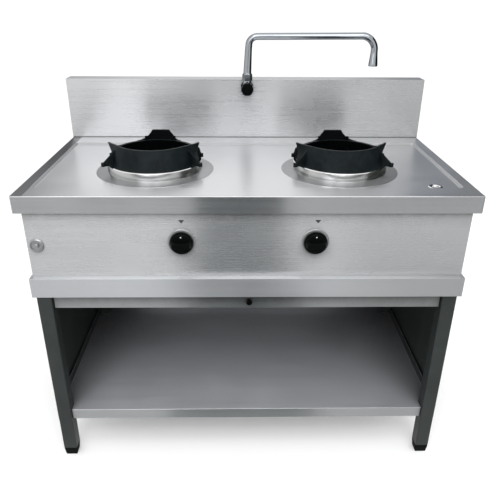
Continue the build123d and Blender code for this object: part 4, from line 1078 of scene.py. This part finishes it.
@dataclass
class ControlHousing:
    """Front panel, end walls and rear wall with knobs, igniter and printed marks."""

    finishes: Finishes
    mark_height: float = 9.5 * MM
    mark_width: float = 15.0 * MM
    mark_z: float = 0.807
    marks: tuple[float, float] = (-0.1745, 0.1800)
    ink_front: float = 0.12 * MM
    ink_rear: float = 0.01 * MM
    pointer_radius: float = 1.6 * MM
    pointer_height: float = 0.35 * MM
    pointer_gap: float = 0.05 * MM
    pointer_rise: float = 20.5 * MM
    skirt_depth: float = 12.5 * MM

    def build(self) -> None:
        """Dress the housing and add the marks and pointers."""
        for name in ("front_panel", "housing_back"):
            Refined(name, 0.4).build(self.finishes.panel, "stainless")
        for side in Side:
            Refined(f"housing_{side.word}", 0.3).build(self.finishes.side_sheet, "stainless")
            Refined(f"knob_{side.word}", 0.6, 3, 20.0).build(self.finishes.knob, "knob_black")
            self.pointer(side)
        # The bezels take the bends' darker copy of the sheet: painted shade.
        Refined("knob_bezels", 0.25).build(self.finishes.bend, "polished_steel")
        Refined("igniter_body", 0.3).build(self.finishes.satin, "polished_steel")
        Refined("igniter_button", 0.4, 3).build(self.finishes.satin, "polished_steel")
        for i, x in enumerate(self.marks):
            self.mark(i, x)

    def pointer(self, side: Side) -> None:
        """Pale dot near the top of a knob's skirt."""
        low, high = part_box(f"knob_{side.word}")
        centre = (low + high) / 2
        place = Vector((centre.x, high.y - self.skirt_depth - self.pointer_gap,
                        centre.z + self.pointer_rise))
        dot = disc(place, Vector((0.0, -1.0, 0.0)), self.pointer_radius, self.pointer_height)
        new_piece(f"knob_dot_{side.word}", dot, self.finishes.pointer, f"knob_{side.word}")

    def mark(self, index: int, x: float) -> None:
        """Small printed triangle above a knob, pointing down."""
        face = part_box("front_panel")[0].y
        mesh = bmesh.new()
        half = self.mark_width / 2
        outline = [(x - half, self.mark_z + self.mark_height / 2),
                   (x, self.mark_z - self.mark_height / 2),
                   (x + half, self.mark_z + self.mark_height / 2)]
        front, rear = ([mesh.verts.new((px, face - depth, pz)) for px, pz in outline]
                       for depth in (self.ink_front, self.ink_rear))
        mesh.faces.new(front)
        mesh.faces.new(list(reversed(rear)))
        loft(mesh, (front, rear))
        new_piece(f"panel_mark_{index}", mesh, self.finishes.print, "range")


@dataclass
class WaterTap:
    """Valve, nut, swan neck and knob on the splash."""

    finishes: Finishes

    def build(self) -> None:
        """Dress the tap."""
        for name, edge in (("tap_body", 0.4), ("tap_nut", 0.5), ("tap_spout", 0.4),
                           ("tap_spindle", 0.3)):
            Refined(name, edge).build(self.finishes.chrome, "polished_steel")
        Refined("tap_knob", 0.6, 3).build(self.finishes.knob, "moulded_black")


@dataclass
class Stand:
    """Band, legs, feet, cladding, shelf and drip tray."""

    finishes: Finishes
    shoe_top: float = 19.6 * MM
    shoe_sole: float = 17.0 * MM
    shoe_height: float = 29.5 * MM
    shoe_chamfer: float = 1.5 * MM
    shoe_band: float = 6.0 * MM
    shoe_corner: float = 2.5 * MM
    shelf_lip: float = 4.0 * MM

    def build(self) -> None:
        """Dress the stand."""
        for name in ("band_front", "band_rear"):
            Refined(name, 0.8, 3).build(self.finishes.band, "stainless")
        for side in Side:
            Refined(f"band_{side.word}", 0.8, 3).build(self.finishes.side_sheet, "stainless")
            Refined(f"side_panel_{side.word}", 0.4).build(self.finishes.dark, "dark_frame")
            for row in ("front", "rear"):
                Refined(f"leg_{row}_{side.word}", 0.3).build(self.finishes.dark, "dark_frame")
                Refined(f"foot_{row}_{side.word}", 0.6, 3).build(self.finishes.rubber,
                                                                "moulded_black")
                self.shoe(f"foot_{row}_{side.word}")
        Refined("back_panel", 0.4).build(self.finishes.dark, "dark_frame")
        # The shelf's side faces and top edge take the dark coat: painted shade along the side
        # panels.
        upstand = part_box("undershelf")[1].z - self.shelf_lip
        Refined("undershelf", 0.5, 3).build(
            self.finishes.shelf, "stainless",
            (self.finishes.dark,
             lambda face: faces_side(face) or face.calc_center_median().z > upstand),
            (self.finishes.tray, faces_cook))
        Refined("drip_tray", 0.4).build(self.finishes.tray, "stainless")
        Refined("drip_tray_knob", 0.3).build(self.finishes.black, "moulded_black")

    def shoe(self, node: str) -> None:
        """Square tapered shoe moulded round a levelling foot.

        Args:
            node: Foot that wears it.
        """
        low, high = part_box(node)
        middle = (low + high) / 2
        mesh = bmesh.new()
        profile = [(self.shoe_sole - self.shoe_chamfer, 0.0),
                   (self.shoe_sole, self.shoe_chamfer),
                   (self.shoe_top, self.shoe_height - self.shoe_band),
                   (self.shoe_top, self.shoe_height)]
        rings = []
        for half, rise in profile:
            rings.append([mesh.verts.new((middle.x + half * sx, middle.y + half * sy, low.z + rise))
                          for sx, sy in ((-1, -1), (1, -1), (1, 1), (-1, 1))])
        loft(mesh, rings)
        mesh.faces.new(list(reversed(rings[0])))
        mesh.faces.new(rings[-1])
        upright = [edge for edge in mesh.edges
                   if abs(edge.verts[0].co.z - edge.verts[1].co.z) > self.shoe_chamfer / 3]
        bmesh.ops.bevel(mesh, geom=upright, offset=self.shoe_corner, segments=4, profile=0.5,
                        affect="EDGES")
        new_piece(node + "_shoe", mesh, self.finishes.rubber, NODES[node]["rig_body"],
                  40.0)


@dataclass
class Services:
    """Gas rail, valves, jets, tubes, pipes and their threads."""

    finishes: Finishes
    pitch: float = 1.81 * MM
    length: float = 22.0 * MM
    ridge_radius: float = 10.3 * MM
    nipple_radius: float = 10.48 * MM
    bare_end: float = 1.5 * MM
    gas_x: float = 540.0 * MM
    gas_z: float = 715.0 * MM

    def build(self) -> None:
        """Dress what is behind the panel and wind the threads."""
        f = self.finishes
        dress(f.brass, "gas_valve_left", "gas_valve_right", "valve_plug_left", "valve_plug_right",
              "injectors", "thermocouples")
        dress(f.chrome, "valve_spindle_left", "valve_spindle_right")
        dress(f.alloy, "supply_pipes", "pilot_burners", "drain_pipe", "tray_runners")
        dress(f.pipe, "gas_manifold")
        dress(f.copper, "water_pipe")
        dress(f.iron, "mixing_tubes", "burner_caps")
        dress(f.ceramic, "ignition_electrodes")
        dress(f.black, "leg_inserts")
        tree = make_thread_tree()
        rail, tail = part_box("gas_manifold"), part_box("water_pipe")
        self.thread(tree, "gas_thread",
                    Vector((self.gas_x, rail[1].y - self.bare_end, self.gas_z)),
                    (math.pi / 2, 0.0, 0.0), f.pipe)
        middle = (tail[0] + tail[1]) / 2
        self.thread(tree, "water_thread",
                    Vector((middle.x, tail[0].y + self.nipple_radius,
                            tail[0].z + self.bare_end)),
                    (0.0, 0.0, 0.0), f.copper)

    def thread(self, tree: bpy.types.NodeTree, name: str, start: Vector, facing: Point,
               finish: bpy.types.Material) -> None:
        """Wind one thread.

        Args:
            tree: Thread tree.
            name: Piece name.
            start: First turn's centre.
            facing: Rotation that points the thread along its nipple.
            finish: Its finish.
        """
        values = {"Radius": self.ridge_radius, "Pitch": self.pitch, "Length": self.length,
                  "Start": tuple(start), "Facing": facing, "Finish": finish}
        grown(name, point_mesh(name, [(0.0, 0.0, 0.0)]), tree, values, "range", 20.0)


@dataclass
class Fasteners:
    """Screws that hold the housing's rear wall and the back panel."""

    finishes: Finishes
    radius: float = 4.2 * MM
    height: float = 2.0 * MM
    behind: Point = (-math.pi / 2, 0.0, 0.0)
    margin: float = 20.0 * MM
    columns: int = 5
    seed: int = 5

    def build(self) -> None:
        """Place every row of screws."""
        tree = make_screw_tree()
        for node, rows in (("housing_back", 2), ("back_panel", 3)):
            self.rear(tree, node, rows)

    def rear(self, tree: bpy.types.NodeTree, node: str, rows: int) -> None:
        """Screws round the edge of a rear sheet.

        Args:
            tree: Screw tree.
            node: Sheet that they hold.
            rows: Screws up each end.
        """
        low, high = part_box(node)
        margin, columns = self.margin, self.columns
        places = []
        for i in range(columns):
            for j in range(rows):
                if rows > 2 and 0 < i < columns - 1 and 0 < j < rows - 1:
                    continue
                x = low.x + margin + (high.x - low.x - 2 * margin) * i / (columns - 1)
                z = low.z + margin + (high.z - low.z - 2 * margin) * j / (rows - 1)
                places.append((x, high.y, z))
        values = {"Head Radius": self.radius, "Head Height": self.height, "Facing": self.behind,
                  "Seed": self.seed, "Finish": self.finishes.chrome}
        grown(f"{node}_screws", point_mesh(node, places), tree, values, "range",
              25.0)


# --------------------------------------------------------------------------- studio
@dataclass(frozen=True)
class Card:
    """Studio card that only reflections see, with edges that fade out.

    A card stands across the view. Lean 90 lays it flat, turn swings it about the vertical.
    """

    name: str
    place: Point
    width: float
    height: float
    radiance: Colour
    turn: float = 0.0
    lean: float = 0.0
    fade: float = 0.2

    def build(self) -> None:
        """Make the card."""
        mesh = bmesh.new()
        bmesh.ops.create_grid(mesh, x_segments=1, y_segments=1, size=0.5)
        card = to_scene(self.name, to_data(self.name, mesh))
        stand = Matrix.Rotation(math.radians(90.0 - self.lean), 4, "X")
        spin = Matrix.Rotation(math.radians(self.turn), 4, "Z")
        card.matrix_world = (Matrix.Translation(self.place) @ spin @ stand
                             @ Matrix.Diagonal((self.width, self.height, 1.0, 1.0)))
        card.visible_camera = card.visible_diffuse = card.visible_shadow = False
        give(card, self.paper())

    def paper(self) -> bpy.types.Material:
        """Emission that fades to clear near the edges."""
        paper, tree = blank_material(self.name + "_paper")
        where = tree.add("ShaderNodeTexCoord").outputs["Object"]
        parts = tree.add("ShaderNodeSeparateXYZ", {0: where})
        masks = [tree.ramp(tree.math("ABSOLUTE", parts.outputs[axis]), 0.5 - self.fade, 0.5, 1.0,
                           0.0, smooth=True) for axis in ("X", "Y")]
        glow = tree.add("ShaderNodeEmission", {"Color": self.radiance + (1.0,), "Strength": 1.0})
        clear = tree.add("ShaderNodeBsdfTransparent")
        faded = tree.add("ShaderNodeMixShader", {0: tree.math("MULTIPLY", *masks),
                                                 1: clear.outputs[0], 2: glow.outputs[0]})
        tree.add("ShaderNodeOutputMaterial", {"Surface": faded.outputs[0]})
        return paper


CARDS: tuple[Card, ...] = (
    Card("front_floor", (0.0, -2.2, 0.01), 6.0, 4.0, (0.78, 0.79, 0.8), lean=90.0, fade=0.08),
    Card("far_floor", (0.0, -3.6, 0.015), 6.0, 2.6, (0.44, 0.445, 0.45), lean=90.0, fade=0.15),
    Card("near_right", (0.9, -1.1, 0.018), 1.2, 0.9, (0.32, 0.32, 0.32), lean=90.0, fade=0.3),
    Card("aisle", (-0.03, -1.9, 0.02), 0.58, 3.6, (0.54, 0.57, 0.59), lean=90.0, fade=0.15),
    Card("near_aisle", (0.0, -0.95, 0.03), 0.66, 1.2, (0.02, 0.03, 0.03), lean=90.0, fade=0.2),
    Card("camera_stand", (-0.02, -1.9, 0.46), 0.52, 0.72, (0.01, 0.02, 0.02), fade=0.06),
    Card("camera_body", (-0.03, -1.9, 1.16), 0.48, 0.68, (0.4, 0.41, 0.42), fade=0.12),
    Card("stand_arm", (-0.33, -1.9, 1.7), 0.2, 1.0, (0.4, 0.4, 0.45), fade=0.2),
    Card("front_softbox", (-0.8, -2.6, 2.2), 3.4, 2.4, (2.8, 2.8, 2.86), fade=0.22),
    Card("back_softbox", (-0.3, 2.6, 3.15), 3.7, 2.6, (1.8, 1.8, 1.8), fade=0.25),
    Card("left_back", (-2.5, 3.3, 2.8), 3.4, 5.4, (0.05, 0.05, 0.07), turn=35.0, fade=0.1),
    Card("right_back", (2.6, 3.6, 2.8), 3.2, 5.4, (0.1, 0.13, 0.18), turn=-30.0, fade=0.12),
    Card("right_flag", (1.9, 1.0, 1.2), 4.4, 2.8, (0.02, 0.026, 0.02), turn=-90.0, fade=0.06),
)


@dataclass
class Studio:
    """Pale floor, soft lights, dark flags and the camera."""

    place: Point = (-0.0275, -1.620, 1.3552)
    yaw: float = -0.0195
    pitch: float = 0.4475
    roll: float = 0.007
    focal_pixels: float = 549.3
    frame_pixels: float = 500.0
    centre_pixels: tuple[float, float] = (247.85, 250.05)
    sensor: float = 36.0
    sky: float = 1.05

    def build(self) -> None:
        """Set up the whole studio."""
        bpy.context.scene.view_settings.view_transform = "Standard"
        self.camera()
        self.floor()
        self.world()
        self.softbox("overhead", (0.0, -1.9, 3.3), (0.0, -0.1, 0.6), 3.2, 1.6, 36.0, True)
        self.softbox("front_fill", (0.0, -3.0, 2.4), (0.0, 0.0, 0.2), 3.0, 2.0, 50.0, False)
        for card in CARDS:
            card.build()

    def camera(self) -> None:
        """Camera at the photograph's viewing angle."""
        up = Vector((0.0, 0.0, 1.0))
        right = Vector((math.cos(self.yaw), math.sin(self.yaw), 0.0))
        ahead = Vector((-math.sin(self.yaw), math.cos(self.yaw), 0.0))
        forward = ahead * math.cos(self.pitch) - up * math.sin(self.pitch)
        lifted = up * math.cos(self.pitch) + ahead * math.sin(self.pitch)
        across = right * math.cos(self.roll) + lifted * math.sin(self.roll)
        above = lifted * math.cos(self.roll) - right * math.sin(self.roll)
        data = bpy.data.cameras.new("camera")
        data.sensor_width = self.sensor
        data.lens = self.focal_pixels / self.frame_pixels * self.sensor
        data.shift_x = 0.5 - self.centre_pixels[0] / self.frame_pixels
        data.shift_y = self.centre_pixels[1] / self.frame_pixels - 0.5
        camera = to_scene("camera", data)
        turn = Matrix((across, above, -forward)).transposed().to_4x4()
        camera.matrix_world = Matrix.Translation(self.place) @ turn
        bpy.context.scene.camera = camera

    def floor(self) -> None:
        """Pale floor that curves up into a backdrop."""
        mesh = bmesh.new()
        front, bend, reach, rise, steps = -9.0, 7.0, 2.5, 7.0, 16
        profile = [(front, 0.0), (bend, 0.0)]
        profile += [(bend + reach * math.sin(math.pi / 2 * i / steps),
                     reach * (1 - math.cos(math.pi / 2 * i / steps))) for i in range(1, steps + 1)]
        profile.append((bend + reach, rise))
        rows = [[mesh.verts.new((x, y, z)) for x in (-14.0, 14.0)] for y, z in profile]
        for near, far in zip(rows, rows[1:]):
            mesh.faces.new((near[0], near[1], far[1], far[0]))
        floor = to_scene("studio_floor", to_data("studio_floor", mesh))
        floor.data.shade_smooth()
        paper = bpy.data.materials.new("studio_paper")
        paper.use_nodes = True
        shader = paper.node_tree.nodes["Principled BSDF"]
        for title, value in (("Base Color", (0.9, 0.9, 0.9, 1.0)),
                             ("Emission Color", (1.0, 1.0, 1.0, 1.0)),
                             ("Emission Strength", 0.08), ("Roughness", 0.9),
                             ("Specular IOR Level", 0.1)):
            shader.inputs[title].default_value = value
        give(floor, paper)

    def world(self) -> None:
        """Even white surroundings."""
        world = bpy.data.worlds.new("studio_world")
        world.use_nodes = True
        background = world.node_tree.nodes["Background"]
        background.inputs["Color"].default_value = (1.0, 1.0, 1.0, 1.0)
        background.inputs["Strength"].default_value = self.sky
        bpy.context.scene.world = world

    def softbox(self, name: str, place: Point, target: Point, width: float, height: float,
                power: float, reflected: bool) -> None:
        """Rectangular area light.

        Args:
            name: Light name.
            place: Its middle.
            target: Point it faces.
            width: Its width.
            height: Its height.
            power: Power in watts.
            reflected: Whether glossy surfaces show it.
        """
        data = bpy.data.lights.new(name, "AREA")
        data.shape = "RECTANGLE"
        data.size, data.size_y, data.energy = width, height, power
        light = to_scene(name, data)
        light.location = place
        aim = (Vector(target) - Vector(place)).to_track_quat("-Z", "Y")
        light.rotation_euler = aim.to_euler()
        light.visible_glossy = reflected


def main() -> None:
    """Build every sub-assembly in order."""
    finishes = Finishes()
    Studio().build()
    assemblies: list[tuple[str, Callable[[], None]]] = [
        ("worktop and splash", Worktop(finishes).build),
        ("left burner", Burner(finishes, Side.LEFT).build),
        ("right burner", Burner(finishes, Side.RIGHT).build),
        ("control housing", ControlHousing(finishes).build),
        ("water tap", WaterTap(finishes).build),
        ("stand", Stand(finishes).build),
        ("gas and water services", Services(finishes).build),
        ("fasteners", Fasteners(finishes).build)]
    for title, build in assemblies:
        build()
        log.info("built %s", title)


if __name__ == "__main__":
    main()
